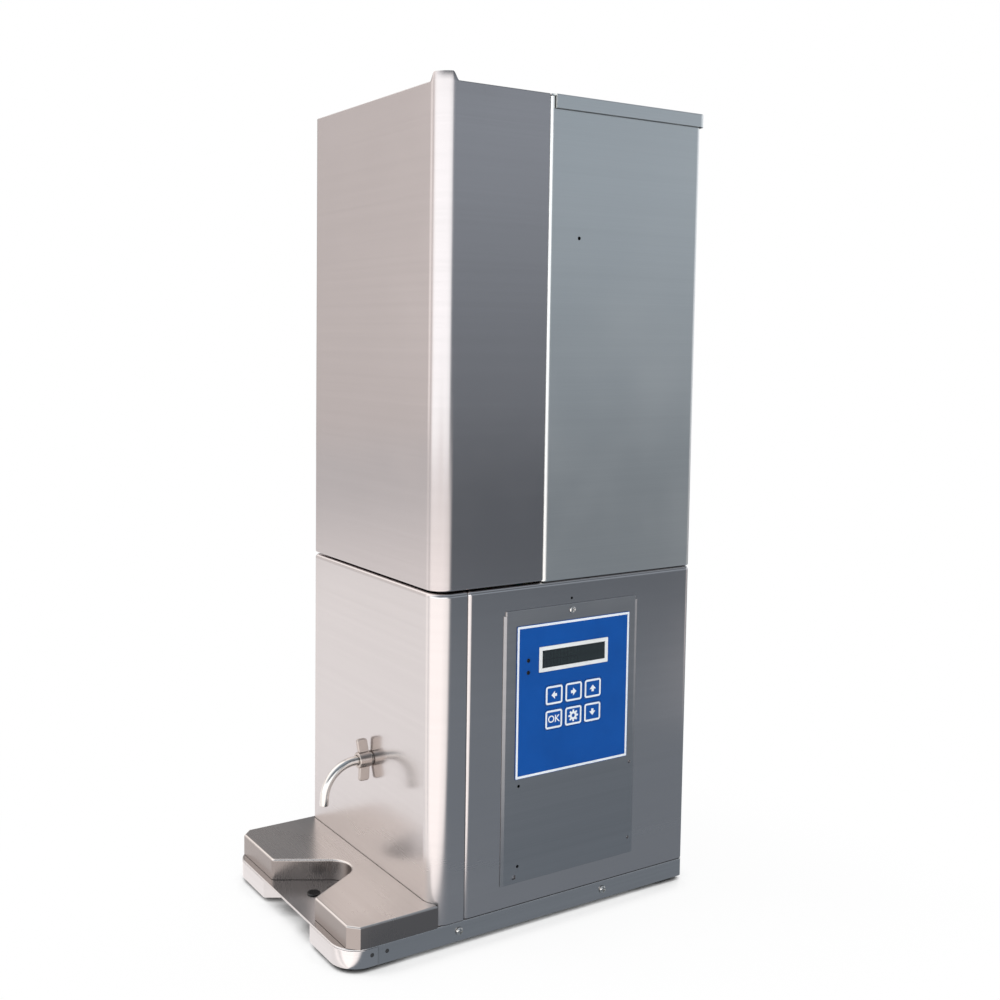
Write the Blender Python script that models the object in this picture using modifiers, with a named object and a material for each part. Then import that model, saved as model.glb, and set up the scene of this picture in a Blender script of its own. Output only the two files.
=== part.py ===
"""Countertop sauce dispenser with a pumped spout, modelled in metres with +Z up.

A stainless body stands on a low base. A hood lifts off its front and a lid off its back, over a tank
that stands on a deck. Under the deck a peristaltic pump feeds a bent spout held by a wing nut, and a
keypad on the right side sets the portion. The counter is Z = 0 and the front faces -Y.
"""

import math

import bmesh
import bpy
from mathutils import Matrix, Vector

MM = 0.001

# Body
BODY_W = 211.7 * MM
BODY_D = 264.0 * MM
BODY_H = 672.0 * MM
SEAM_H = 281.0 * MM
BASE_H = 15.6 * MM
BASE_REACH = 78.0 * MM
FOOT_H = 4.0 * MM
SHEET = 1.2 * MM
FLANGE = 12.0 * MM
CORNER_R = 15.0 * MM
EDGE_R = 4.2 * MM
REAR_R = 5.0 * MM
TOP_BEND_R = 3.8 * MM

# Clearances and overruns
GAP = 0.3 * MM
FILM_GAP = 0.2 * MM
SLIP = 0.4 * MM
OVER = 6.0 * MM
BOOL_OVERLAP = 1.0 * MM

# Lower front panel, casing and deck
PANEL_RETURN = 29.5 * MM
DECK_T = 1.5 * MM
VENT_W = 3.0 * MM
VENT_L = 46.0 * MM
VENT_PITCH = 9.0 * MM
VENT_COUNT = 7
VENT_DROP = 80.0 * MM
VENT_END_R = 1.0 * MM
MARK_HOLE_R = 1.1 * MM

# Hood, its rests and its corner tab
HOOD_D = 101.5 * MM
HOOD_GAP = 1.5 * MM
TAB_H = 6.8 * MM
TAB_BASE_W = 23.0 * MM
TAB_TOP_W = 15.0 * MM
TAB_SHOULDER_R = 3.5 * MM
REST_R = 5.0 * MM
REST_PIN_R = 2.0 * MM
REST_PIN_H = 8.0 * MM
REST_STEM = 5.0 * MM
REST_X = 70.0 * MM

# Rear housing and lid
LID_SET_BACK = 5.0 * MM
LID_OVERHANG = 2.5 * MM
LID_LIP = 11.0 * MM
LID_R = 6.0 * MM
LID_GAP = 1.0 * MM
HOUSING_HOLE_R = 1.5 * MM
HOUSING_HOLE_Y = 133.0 * MM
HOUSING_HOLE_Z = 560.0 * MM

# Sauce tank and its outlet
TANK_W = 180.0 * MM
TANK_FRONT = 45.0 * MM
TANK_BACK_ROOM = 16.0 * MM
TANK_HEADROOM = 20.0 * MM
TANK_WALL = 3.0 * MM
TANK_R = 25.0 * MM
TANK_RIM = 2.0 * MM
TANK_RIM_H = 7.0 * MM
TANK_SKIRT_H = 8.0 * MM
TANK_FLOOR = 3.5 * MM
TANK_FALL_SHARE = 0.05
OUTLET_Y = 67.0 * MM
OUTLET_R = 8.0 * MM
OUTLET_BORE_R = 4.6 * MM
OUTLET_FLANGE_R = 13.0 * MM
OUTLET_FLANGE_T = 2.0 * MM
OUTLET_REACH = 15.0 * MM
WELL_R = 14.0 * MM
WELL_DEPTH = 1.6 * MM

# Coupling in the deck
COUPLING_FLANGE_R = 18.0 * MM
COUPLING_FLANGE_T = 2.2 * MM
COUPLING_R = 12.5 * MM
COUPLING_DEPTH = 22.0 * MM
COUPLING_SEAT = 2.0 * MM

# Hose and hose tails
HOSE_R = 7.0 * MM
HOSE_BORE_R = 5.0 * MM
TAIL_R = 4.4 * MM
TAIL_RIDGE = 0.1 * MM
TAIL_BORE_R = 3.2 * MM
TAIL_L = 14.0 * MM
TAIL_RIDGES = 2
HOSE_BEND_R = 30.0 * MM

# Line of the pump, spout and notch, then the spout, its bulkhead and wing nut
LINE_X = 3.0 * MM
SPOUT_Z = 122.0 * MM
SPOUT_R = 4.0 * MM
SPOUT_BORE_R = 3.2 * MM
SPOUT_STRAIGHT = 15.0 * MM
SPOUT_BEND_R = 28.0 * MM
SPOUT_DROP = 33.0 * MM
SPOUT_TILT = math.radians(85)
SPOUT_IN = 5.0 * MM
SLEEVE_R = 5.0 * MM
SLEEVE_OUT = 7.4 * MM
SLEEVE_FLANGE_R = 11.0 * MM
SLEEVE_FLANGE_T = 2.6 * MM
NUT_FACE = 1.2 * MM
NUT_L = 11.0 * MM
NUT_HUB_R = 6.7 * MM
NUT_SHOULDER = 2.0 * MM
WING_SPAN = 35.0 * MM
WING_T = 3.4 * MM
WING_WAIST = 9.0 * MM
WING_R = 3.6 * MM
WING_FLARE = 1.5 * MM
NUT_TILT = math.radians(8)
SEAL_T = 1.8 * MM

# Pump
PUMP_FROM_FRONT = 100.0 * MM
WRAP_R = 34.0 * MM
ROLLER_R = 8.9 * MM
ROLLER_L = 21.0 * MM
ROLLER_COUNT = 3
ROLLER_PIN_R = 2.5 * MM
ROLLER_BORE_R = 2.9 * MM
ROTOR_R = 24.0 * MM
ROTOR_DISC_T = 3.0 * MM
ROTOR_HUB_R = 6.0 * MM
SHAFT_R = 4.0 * MM
SHAFT_FLAT = 1.0 * MM
TRACK_WALL = 8.0 * MM
TRACK_BACK_T = 3.0 * MM
TRACK_EDGE_R = 8.0 * MM
TRACK_FRONT_REACH = 46.0 * MM
COVER_T = 2.0 * MM
BRACKET_T = 2.0 * MM
BRACKET_RISE = 4.0 * MM
BRACKET_FOOT = 42.0 * MM
BRACKET_BEND_R = 4.0 * MM
BRACKET_HOLE_R = 9.0 * MM
GEARBOX_W = 56.0 * MM
GEARBOX_D = 28.0 * MM
GEARBOX_CHAMFER = 7.0 * MM
MOTOR_R = 24.0 * MM
MOTOR_L = 44.0 * MM
MOTOR_STEP_R = 20.0 * MM
MOTOR_STEP = 4.0 * MM

# Power supply, inlet and switch
SUPPLY_W = 110.0 * MM
SUPPLY_D = 52.0 * MM
SUPPLY_H = 34.0 * MM
SUPPLY_X = -32.0 * MM
SUPPLY_ROOM = 10.0 * MM
SUPPLY_SLOTS = 6
SUPPLY_SLOT_W = 2.5 * MM
SUPPLY_SLOT_DEPTH = 2.0 * MM
INLET_X = 62.0 * MM
INLET_Z = 55.0 * MM
INLET_W = 32.0 * MM
INLET_H = 56.0 * MM
INLET_PROUD = 1.6 * MM
INLET_DEPTH = 24.0 * MM
INLET_WALL = 2.4 * MM
INLET_R = 2.0 * MM
SOCKET_W = 24.6 * MM
SOCKET_H = 16.6 * MM
SOCKET_CHAMFER = 5.0 * MM
SOCKET_DEPTH = 18.0 * MM
SOCKET_DROP = 14.0 * MM
BLADE_W = 2.0 * MM
BLADE_H = 4.0 * MM
BLADE_L = 12.0 * MM
BLADE_PITCH = 7.0 * MM
BLADE_RISE = 3.0 * MM
ROCKER_W = 13.0 * MM
ROCKER_H = 20.0 * MM
ROCKER_RISE = 14.0 * MM
ROCKER_DEPTH = 9.0 * MM
ROCKER_PIVOT_IN = 7.0 * MM
ROCKER_DISH = 1.8 * MM
ROCKER_TILT = math.radians(9)
ROCKER_ROOM = 0.8 * MM

# Control plate, film, keys and display
PLATE_Y0 = 64.0 * MM
PLATE_Y1 = 203.0 * MM
PLATE_Z0 = 35.0 * MM
PLATE_Z1 = 261.0 * MM
PLATE_T = 0.9 * MM
PLATE_BEND = 0.6 * MM
RELIEF_W = 2.2 * MM
RELIEF_H = 3.6 * MM
WINDOW_MARGIN = 9.0 * MM
PLATE_SCREW_Y = 132.5 * MM
PLATE_SCREW_Z = 255.8 * MM
MARK_HOLE_RISE = 9.7 * MM
PLATE_HOLE_R = 1.3 * MM
PLATE_HOLE_Y0 = 80.5 * MM
PLATE_HOLE_Y1 = 197.4 * MM
PLATE_HOLE_Z0 = 49.0 * MM
PLATE_HOLE_Z1 = 116.0 * MM
SQUARE_HOLE = 3.6 * MM
SQUARE_HOLE_Y = 76.9 * MM
SQUARE_HOLE_Z = 40.5 * MM
FILM_Y0 = 76.4 * MM
FILM_Y1 = 193.7 * MM
FILM_Z0 = 122.0 * MM
FILM_Z1 = 248.0 * MM
FILM_T = 0.5 * MM
FILM_R = 1.0 * MM
KEY_W = 18.5 * MM
KEY_H = 16.8 * MM
KEY_R = 3.0 * MM
KEY_T = 0.6 * MM
KEY_LIFT = 0.4 * MM
KEY_PITCH_Y = 20.2 * MM
KEY_PITCH_Z = 20.3 * MM
KEY_Y = 134.6 * MM
KEY_Z = 176.9 * MM
KEY_COLUMNS = 3
FRAME_Y0 = 98.7 * MM
FRAME_Y1 = 170.5 * MM
FRAME_Z0 = 207.5 * MM
FRAME_Z1 = 228.5 * MM
FRAME_BAR = 3.2 * MM
FRAME_T = 0.7 * MM
FRAME_R = 0.8 * MM
PANE_T = 0.4 * MM
MODULE_W = 80.0 * MM
MODULE_H = 36.0 * MM
MODULE_T = 8.0 * MM
LED_R = 1.6 * MM
LED_T = 0.6 * MM
LED_Y = 88.0 * MM
LED_Z = 214.0 * MM
LED_PITCH = 10.0 * MM
BOARD_T = 1.6 * MM
BOARD_MARGIN = 4.0 * MM
BOARD_DROP = 22.0 * MM
STANDOFF_R = 3.0 * MM
STANDOFF_IN = 6.0 * MM

# Base: band, platform, notch, sensor, feet and screws
BASE_FRONT_R = 22.0 * MM
BAND_SEAM = 48.0 * MM
BAND_T = 1.5 * MM
BAND_LIP_R = 2.0 * MM
PLATFORM_RISE = 18.0 * MM
PLATFORM_SET_BACK = 6.0 * MM
PLATFORM_OVER_SIDE = 0.7 * MM
PLATFORM_EAR = 5.0 * MM
PLATFORM_T = 1.5 * MM
PLATFORM_CHAMFER = 8.0 * MM
NOTCH_TIP_R = 18.0 * MM
NOTCH_APEX = 19.5 * MM
NOTCH_HALF_ANGLE = math.radians(30)
NOTCH_LIP_R = 4.0 * MM
SENSOR_Y = 52.5 * MM
SENSOR_R = 4.6 * MM
SENSOR_FLANGE = 0.7 * MM
SENSOR_RISE = 0.9 * MM
SENSOR_DEPTH = 6.0 * MM
FOOT_TOP_R = 12.0 * MM
FOOT_R = 10.0 * MM
FOOT_IN = 24.0 * MM
SCREW_R = 1.6 * MM
SCREW_L = 8.0 * MM
PAN_HEAD_R = 3.3 * MM
PAN_HEAD_T = 1.9 * MM
SMALL_HEAD_R = 3.0 * MM
SMALL_HEAD_T = 1.0 * MM
BASE_SCREW_Z = 8.0 * MM
BASE_SCREW_FRONT = 25.5 * MM
BASE_SCREW_BACK = 171.5 * MM
HEAD_CROWN_SHARE = 0.62

# Facets
ARC_SAG = 0.06 * MM
LEAST_ARC_STEP = math.radians(12)
MOST_ARC_STEP = math.radians(22.5)
ROUND_STEPS = 28
SMALL_STEPS = 16
HOLE_STEPS = 12
BEND_SEGMENTS = 3
SMOOTH_ANGLE = math.radians(35)
WELD = 0.001 * MM
FLAT_ANGLE = math.radians(0.5)

# Places worked out from the sizes above
FRONT = (BASE_REACH - BODY_D - LID_OVERHANG) / 2
BACK = FRONT + BODY_D
SIDE = BODY_W / 2
FLOOR = FOOT_H
SHEET_TOP = FLOOR + BASE_H
SEAM = FLOOR + SEAM_H
TOP = FLOOR + BODY_H
SPLIT = FRONT + PANEL_RETURN
HOOD_BACK = FRONT + HOOD_D
HOOD_LOW = SEAM + HOOD_GAP
DECK_TOP = SEAM - SHEET - GAP
BASE_FRONT = FRONT - BASE_REACH
PUMP_Y = FRONT + PUMP_FROM_FRONT
SPOUT_AXIS = FLOOR + SPOUT_Z
PUMP_Z = SPOUT_AXIS + WRAP_R
ROLLER_ORBIT = WRAP_R - HOSE_R - GAP - ROLLER_R
TRACK_R = WRAP_R + HOSE_R + GAP
OUTLET = FRONT + OUTLET_Y
PLATE_X = SIDE + GAP
FILM_X = PLATE_X + PLATE_T + FILM_GAP
KEY_X = PLATE_X + PLATE_T + KEY_LIFT

# Directions of a piece's own Z axis, as rotations from world axes
UP = Matrix.Identity(4)
RIGHT = Matrix(((0, 0, 1, 0), (1, 0, 0, 0), (0, 1, 0, 0), (0, 0, 0, 1)))
FORWARD = Matrix(((1, 0, 0, 0), (0, 0, -1, 0), (0, 1, 0, 0), (0, 0, 0, 1)))

for old in list(bpy.data.objects):
    bpy.data.objects.remove(old)

PARTS = bpy.data.collections.new("sauce_dispenser")
CUTTERS = bpy.data.collections.new("cutters")
bpy.context.scene.collection.children.link(PARTS)
bpy.context.scene.collection.children.link(CUTTERS)


def material(name, colour, roughness, metallic, alpha=1):
    made = bpy.data.materials.new(name)
    made.use_nodes = True
    shader = made.node_tree.nodes["Principled BSDF"]
    shader.inputs["Base Color"].default_value = (*colour, 1)
    shader.inputs["Roughness"].default_value = roughness
    shader.inputs["Metallic"].default_value = metallic
    shader.inputs["Alpha"].default_value = alpha
    return made


STEEL = ((0.56, 0.55, 0.55), 0.32, 1)
BRIGHT = ((0.75, 0.74, 0.72), 0.2, 1)
ZINC = ((0.5, 0.5, 0.48), 0.45, 1)
DARK = ((0.02, 0.02, 0.02), 0.6, 0)
SMOKE = ((0.03, 0.04, 0.05), 0.15, 0)
BLUE = ((0.006, 0.08, 0.33), 0.35, 0)
WHITE = ((0.82, 0.82, 0.8), 0.4, 0)
MILKY = ((0.78, 0.76, 0.7), 0.4, 0)
CLEAR = ((0.7, 0.75, 0.78), 0.1, 0)
SILICONE = ((0.7, 0.66, 0.58), 0.5, 0)
BOARD_GREEN = ((0.02, 0.14, 0.05), 0.5, 0)


def dress(made, look):
    """Gives a piece its own material, and smooth shading broken at its real edges."""
    made.data.materials.clear()
    made.data.materials.append(material(made.name, *look))
    made.data.shade_smooth()
    made.data.set_sharp_from_angle(angle=SMOOTH_ANGLE)
    return made


def mesh_object(name, shape, place):
    mesh = bpy.data.meshes.new(name)
    shape.to_mesh(mesh)
    shape.free()
    made = bpy.data.objects.new(name, mesh)
    made.matrix_world = place
    PARTS.objects.link(made)
    return made


def meshed(curve_object):
    """The curve's evaluated shape as a mesh object in the same place, with its caps welded on."""
    bpy.context.view_layer.update()
    graph = bpy.context.evaluated_depsgraph_get()
    mesh = bpy.data.meshes.new_from_object(curve_object.evaluated_get(graph))
    shape = bmesh.new()
    shape.from_mesh(mesh)
    bmesh.ops.remove_doubles(shape, verts=shape.verts, dist=WELD)
    bmesh.ops.recalc_face_normals(shape, faces=shape.faces)
    name = curve_object.name
    place = curve_object.matrix_world.copy()
    bpy.data.objects.remove(curve_object)
    bpy.data.meshes.remove(mesh)
    return mesh_object(name, shape, place)


def arc(centre, radius, start, end):
    """Points of an arc in the plane, both ends among them, finer on a larger radius."""
    step = 2 * math.acos(max(1 - ARC_SAG / radius, 0))
    step = min(max(step, LEAST_ARC_STEP), MOST_ARC_STEP)
    steps = max(2, round(abs(end - start) / step))
    turns = [start + (end - start) * k / steps for k in range(steps + 1)]
    return [(centre[0] + radius * math.cos(t), centre[1] + radius * math.sin(t)) for t in turns]


def fillet(corners, closed=True):
    """The outline through (x, y, radius) corners, with each corner rounded to its radius."""
    points = []
    last = len(corners) - 1
    for i, (x, y, radius) in enumerate(corners):
        if radius <= 0 or (not closed and i in (0, last)):
            points.append((x, y))
            continue
        here = Vector((x, y))
        before = (Vector(corners[i - 1][:2]) - here).normalized()
        after = (Vector(corners[(i + 1) % len(corners)][:2]) - here).normalized()
        half = before.angle(after) / 2
        centre = here + (before + after).normalized() * (radius / math.sin(half))
        start = here + before * (radius / math.tan(half)) - centre
        end = here + after * (radius / math.tan(half)) - centre
        turn = math.atan2(start.x * end.y - start.y * end.x, start.dot(end))
        first = math.atan2(start.y, start.x)
        points += arc(centre, radius, first, first + turn)
    return points


def rect(x0, x1, y0, y1, near=0, far=None):
    """A rectangle with one radius at its two y0 corners and another at its two y1 corners."""
    far = near if far is None else far
    return fillet([(x0, y0, near), (x1, y0, near), (x1, y1, far), (x0, y1, far)])


def circle(x, y, radius, steps=SMALL_STEPS):
    turns = [2 * math.pi * k / steps for k in range(steps)]
    return [(x + radius * math.cos(t), y + radius * math.sin(t)) for t in turns]


def offset(points, distance, closed=True):
    """The path moved to its left by the distance, each vertex along the mean of its two normals."""
    moved = []
    count = len(points)
    for i, point in enumerate(points):
        here = Vector(point)
        first = not closed and i == 0
        final = not closed and i == count - 1
        into = (here - Vector(points[i - 1])).normalized() if not first else None
        out = (Vector(points[(i + 1) % count]) - here).normalized() if not final else into
        into = out if into is None else into
        normals = (Vector((-into.y, into.x)), Vector((-out.y, out.x)))
        middle = (normals[0] + normals[1]).normalized()
        moved.append(tuple(here + middle * (distance / middle.dot(normals[0]))))
    return moved


def plate(name, loops, low, high, axis=UP):
    """Flat outlines, holes among them, filled and extruded from low to high along the axis."""
    curve = bpy.data.curves.new(name, "CURVE")
    curve.dimensions = "2D"
    curve.fill_mode = "BOTH"
    curve.extrude = (high - low) / 2
    for loop in loops:
        spline = curve.splines.new("POLY")
        spline.points.add(len(loop) - 1)
        for point, (x, y) in zip(spline.points, loop):
            point.co = (x, y, 0, 1)
        spline.use_cyclic_u = True
    holder = bpy.data.objects.new(name, curve)
    PARTS.objects.link(holder)
    holder.matrix_world = axis @ Matrix.Translation((0, 0, (low + high) / 2))
    return meshed(holder)


def box(name, low, high):
    """A cube primitive stretched between two corners."""
    shape = bmesh.new()
    bmesh.ops.create_cube(shape, size=1)
    size = [b - a for a, b in zip(low, high)]
    middle = [(a + b) / 2 for a, b in zip(low, high)]
    bmesh.ops.scale(shape, vec=size, verts=shape.verts)
    return mesh_object(name, shape, Matrix.Translation(middle))


def turned(name, profile, origin, axis=UP, steps=ROUND_STEPS, ring=False):
    """A Screw about the piece's own Z axis of (radius, height) points that run down its outer side."""
    shape = bmesh.new()
    points = [shape.verts.new((r, 0, z)) for r, z in profile]
    for a, b in zip(points, points[1:]):
        shape.edges.new((a, b))
    if ring:
        shape.edges.new((points[-1], points[0]))
    made = mesh_object(name, shape, Matrix.Translation(origin) @ axis)
    screw = made.modifiers.new("turn", "SCREW")
    screw.steps = steps
    screw.render_steps = steps
    screw.use_merge_vertices = True
    screw.merge_threshold = WELD
    screw.use_smooth_shade = True
    return made


def tube(name, points, radius, sides):
    """A round bar along 3-D points, with closed ends."""
    curve = bpy.data.curves.new(name, "CURVE")
    curve.dimensions = "3D"
    curve.bevel_depth = radius
    curve.bevel_resolution = sides
    curve.use_fill_caps = True
    spline = curve.splines.new("POLY")
    spline.points.add(len(points) - 1)
    for point, place in zip(spline.points, points):
        point.co = (*place, 1)
    holder = bpy.data.objects.new(name, curve)
    PARTS.objects.link(holder)
    return meshed(holder)


def cutter(made):
    """Moves a helper out of the parts, and keeps it out of renders."""
    PARTS.objects.unlink(made)
    CUTTERS.objects.link(made)
    made.hide_render = True
    made.display_type = "WIRE"
    return made


def boolean(made, other, operation):
    step = made.modifiers.new(other.name, "BOOLEAN")
    step.operation = operation
    step.solver = "EXACT"
    step.object = other
    if other.name in PARTS.objects:
        cutter(other)
    return made


def cut(made, other):
    return boolean(made, other, "DIFFERENCE")


def join(made, other):
    return boolean(made, other, "UNION")


def round_top(made, radius, stay_y=None):
    """Bends over the upper edges of a prism, apart from the one along Y = stay_y."""
    shape = bmesh.new()
    shape.from_mesh(made.data)
    bmesh.ops.dissolve_limit(shape, angle_limit=FLAT_ANGLE, verts=shape.verts, edges=shape.edges)
    high = max(vert.co.z for vert in shape.verts)
    chosen = []
    for edge in shape.edges:
        a, b = (vert.co for vert in edge.verts)
        stays = stay_y is not None and max(abs(a.y - stay_y), abs(b.y - stay_y)) < WELD
        if min(a.z, b.z) > high - WELD and not stays:
            chosen.append(edge)
    bmesh.ops.bevel(
        shape,
        geom=chosen,
        offset=radius,
        segments=BEND_SEGMENTS,
        profile=0.5,
        affect="EDGES",
    )
    shape.to_mesh(made.data)
    shape.free()


def base_outline(inset):
    front = max(BASE_FRONT_R - inset, 0)
    rear = max(REAR_R - inset, 0)
    x = SIDE - inset
    return rect(-x, x, BASE_FRONT + inset, BACK - inset, front, rear)


def notch_tip():
    """Where the notch's two straight sides would meet, if its tip weren't rounded."""
    return FRONT - NOTCH_APEX - NOTCH_TIP_R + NOTCH_TIP_R / math.sin(NOTCH_HALF_ANGLE)


def notch_half_width(y, tip):
    return (tip - y) * math.tan(NOTCH_HALF_ANGLE)


def base_pan():
    """The base's top sheet with its turned-down rails at the sides and back."""
    pan = plate("base_pan", [base_outline(0)], FLOOR, SHEET_TOP)
    cut(pan, plate("pan_core", [base_outline(SHEET)], FLOOR - OVER, SHEET_TOP - SHEET))
    seam = FRONT - BAND_SEAM
    wide = SIDE + OVER
    under = SHEET_TOP - SHEET
    cut(pan, box("pan_front", (-wide, BASE_FRONT - OVER, FLOOR - OVER), (wide, seam, under)))
    hole = circle(LINE_X, FRONT - SENSOR_Y, SENSOR_R + GAP)
    cut(pan, plate("pan_sensor_hole", [hole], under - OVER, SHEET_TOP + OVER))
    for y in (BASE_SCREW_FRONT, BASE_SCREW_BACK):
        hole = circle(FRONT + y, FLOOR + BASE_SCREW_Z, SCREW_R + GAP, HOLE_STEPS)
        cut(pan, plate("pan_screw_holes", [hole], -SIDE - OVER, SIDE + OVER, RIGHT))
    dress(pan, STEEL)


def base_front_band():
    """The strip round the base's front: both corners, the front, and the V under the notch."""
    tip = notch_tip()
    mouth = notch_half_width(BASE_FRONT, tip)
    seam = FRONT - BAND_SEAM - GAP
    left = [(-SIDE, seam, 0), (-SIDE, BASE_FRONT, BASE_FRONT_R), (LINE_X - mouth, BASE_FRONT, BAND_LIP_R)]
    right = [(LINE_X + mouth, BASE_FRONT, BAND_LIP_R), (SIDE, BASE_FRONT, BASE_FRONT_R), (SIDE, seam, 0)]
    path = fillet([*left, (LINE_X, tip, NOTCH_TIP_R), *right], closed=False)
    inner = offset(path, BAND_T, closed=False)
    band = plate("base_front_band", [path + inner[::-1]], FLOOR, SHEET_TOP - SHEET - GAP)
    dress(band, STEEL)


def drip_platform():
    """The raised tray over the base's front, with its V notch and turned-down edges."""
    x = SIDE + PLATFORM_OVER_SIDE
    front = BASE_FRONT + PLATFORM_SET_BACK
    ear = FRONT + PLATFORM_EAR
    tip = notch_tip()
    mouth = notch_half_width(front, tip)
    c = PLATFORM_CHAMFER
    low = SHEET_TOP + GAP
    high = SHEET_TOP + PLATFORM_RISE

    def outline(back):
        right = [(LINE_X + mouth, front, NOTCH_LIP_R), (x - c, front, 0), (x, front + c, 0), (x, back, 0)]
        left = [(-x, back, 0), (-x, front + c, 0), (c - x, front, 0), (LINE_X - mouth, front, NOTCH_LIP_R)]
        return fillet([*right, *left, (LINE_X, tip, NOTCH_TIP_R)])

    tray = plate("drip_platform", [outline(ear)], low, high)
    inner = offset(outline(ear + OVER), PLATFORM_T)
    cut(tray, plate("tray_core", [inner], low - OVER, high - PLATFORM_T))
    cut(tray, plate("tray_body", [front_outline(BACK, -SLIP)], low - OVER, high + OVER))
    dress(tray, STEEL)


def sensor_window():
    """The black round eye in the base sheet, under the spout."""
    top = SENSOR_RISE + SHEET + GAP
    wide = SENSOR_R + SENSOR_FLANGE + GAP
    foot = SHEET + GAP
    profile = [(0, top), (wide - SENSOR_RISE / 2, top), (wide, top - SENSOR_RISE / 2), (wide, foot)]
    profile += [(SENSOR_R, foot), (SENSOR_R, -SENSOR_DEPTH), (0, -SENSOR_DEPTH)]
    eye = turned("sensor_window", profile, (LINE_X, FRONT - SENSOR_Y, SHEET_TOP - SHEET))
    dress(eye, DARK)


def feet():
    height = FLOOR + BASE_H - SHEET - GAP
    profile = [(0, height), (FOOT_TOP_R, height), (FOOT_R, 0), (0, 0)]
    x = SIDE - FOOT_IN
    for end, y in (("front", BASE_FRONT + FOOT_IN), ("rear", BACK - FOOT_IN)):
        for side, sign in (("left", -1), ("right", 1)):
            foot = turned(f"foot_{end}_{side}", profile, (sign * x, y, 0), steps=SMALL_STEPS)
            dress(foot, DARK)


def screw(name, head_r, head_t, place, axis, look=BRIGHT):
    """A screw whose head sits on Z = 0 of its own frame and whose shank runs down from there."""
    crown = head_r * HEAD_CROWN_SHARE
    profile = [(0, head_t), (crown, head_t), (head_r, head_t * HEAD_CROWN_SHARE), (head_r, 0)]
    profile += [(SCREW_R, 0), (SCREW_R, -SCREW_L), (0, -SCREW_L)]
    dress(turned(name, profile, place, axis, HOLE_STEPS), look)


def base_screws():
    z = FLOOR + BASE_SCREW_Z
    left = RIGHT @ Matrix.Rotation(math.pi, 4, "X")
    for end, y in (("front", BASE_SCREW_FRONT), ("rear", BASE_SCREW_BACK)):
        right_place = (SIDE + GAP, FRONT + y, z)
        left_place = (-SIDE - GAP, FRONT + y, z)
        screw(f"base_screw_{end}_right", PAN_HEAD_R, PAN_HEAD_T, right_place, RIGHT)
        screw(f"base_screw_{end}_left", PAN_HEAD_R, PAN_HEAD_T, left_place, left)


def lower_front_panel():
    """The panel that carries the spout, wrapped round both corners and bent over at the top."""
    low = SHEET_TOP + GAP
    back = SPLIT - GAP / 2
    panel = plate("lower_front_panel", [front_outline(back)], low, SEAM)
    round_top(panel, TOP_BEND_R, back)
    core = plate("panel_core", [front_outline(back + OVER, SHEET)], low - OVER, SEAM - SHEET)
    round_top(core, TOP_BEND_R - SHEET)
    cut(panel, core)
    spout = circle(LINE_X, SPOUT_AXIS, SLEEVE_R + GAP)
    cut(panel, plate("panel_spout_hole", [spout], -FRONT - OVER, -FRONT + OVER, FORWARD))
    pins = [circle(side * REST_X, rest_y(), REST_PIN_R + GAP) for side in (-1, 1)]
    cut(panel, plate("panel_pin_holes", pins, SEAM - OVER, SEAM + OVER))
    dress(panel, STEEL)


def front_outline(back, inset=0):
    """The front sheets' plan: a tight bend on the left front corner and a wide one on the right."""
    x = SIDE - inset
    y = FRONT + inset
    return fillet([(-x, y, EDGE_R - inset), (x, y, CORNER_R - inset), (x, back, 0), (-x, back, 0)])


def rest_y():
    return FRONT + FLANGE / 2 + SHEET


def casing_outline(inset):
    x = SIDE - inset
    front = max(EDGE_R - inset, 0)
    rear = max(REAR_R - inset, 0)
    return rect(-x, x, SPLIT + GAP / 2 + inset, BACK - inset, front, rear)


def lower_casing():
    """The lower body's sides and back, with flanges at the top, the bottom and the front edges."""
    low = SHEET_TOP + GAP
    casing = plate("lower_casing", [casing_outline(0)], low, SEAM)
    round_top(casing, TOP_BEND_R)
    core = plate("casing_core", [casing_outline(SHEET)], low + SHEET, SEAM - SHEET)
    round_top(core, TOP_BEND_R - SHEET)
    cut(casing, core)
    cut(casing, plate("casing_top", [casing_outline(FLANGE)], SEAM - OVER, SEAM + OVER))
    cut(casing, plate("casing_bottom", [casing_outline(FLANGE)], low - OVER, low + OVER))
    x = SIDE - FLANGE
    mouth_low = (-x, SPLIT - OVER, low + FLANGE)
    mouth_high = (x, SPLIT + OVER, SEAM - FLANGE)
    cut(casing, box("casing_mouth", mouth_low, mouth_high))
    window_low = (SIDE - OVER, FRONT + PLATE_Y0 + WINDOW_MARGIN, FLOOR + PLATE_Z0 + WINDOW_MARGIN)
    window_high = (SIDE + OVER, FRONT + PLATE_Y1 - WINDOW_MARGIN, FLOOR + FILM_Z1 + GAP)
    cut(casing, box("casing_window", window_low, window_high))
    y = FRONT + PLATE_SCREW_Y
    z = FLOOR + PLATE_SCREW_Z
    holes = [circle(y, z, SCREW_R + GAP), circle(y, z + MARK_HOLE_RISE, MARK_HOLE_R)]
    cut(casing, plate("casing_holes", holes, SIDE - OVER, SIDE + OVER, RIGHT))
    cut(casing, plate("casing_back", back_openings(), -BACK - OVER, -BACK + OVER, FORWARD))
    dress(casing, STEEL)


def back_openings():
    """The inlet's cut-out and the row of vent slots in the back."""
    x = INLET_X
    z = FLOOR + INLET_Z
    half_w = INLET_W / 2 - INLET_WALL + GAP
    half_h = INLET_H / 2 - INLET_WALL + GAP
    loops = [rect(x - half_w, x + half_w, z - half_h, z + half_h)]
    high = SEAM - VENT_DROP
    for k in range(VENT_COUNT):
        middle = (k - (VENT_COUNT - 1) / 2) * VENT_PITCH
        half = VENT_W / 2
        loops.append(rect(middle - half, middle + half, high - VENT_L, high, VENT_END_R))
    return loops


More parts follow.
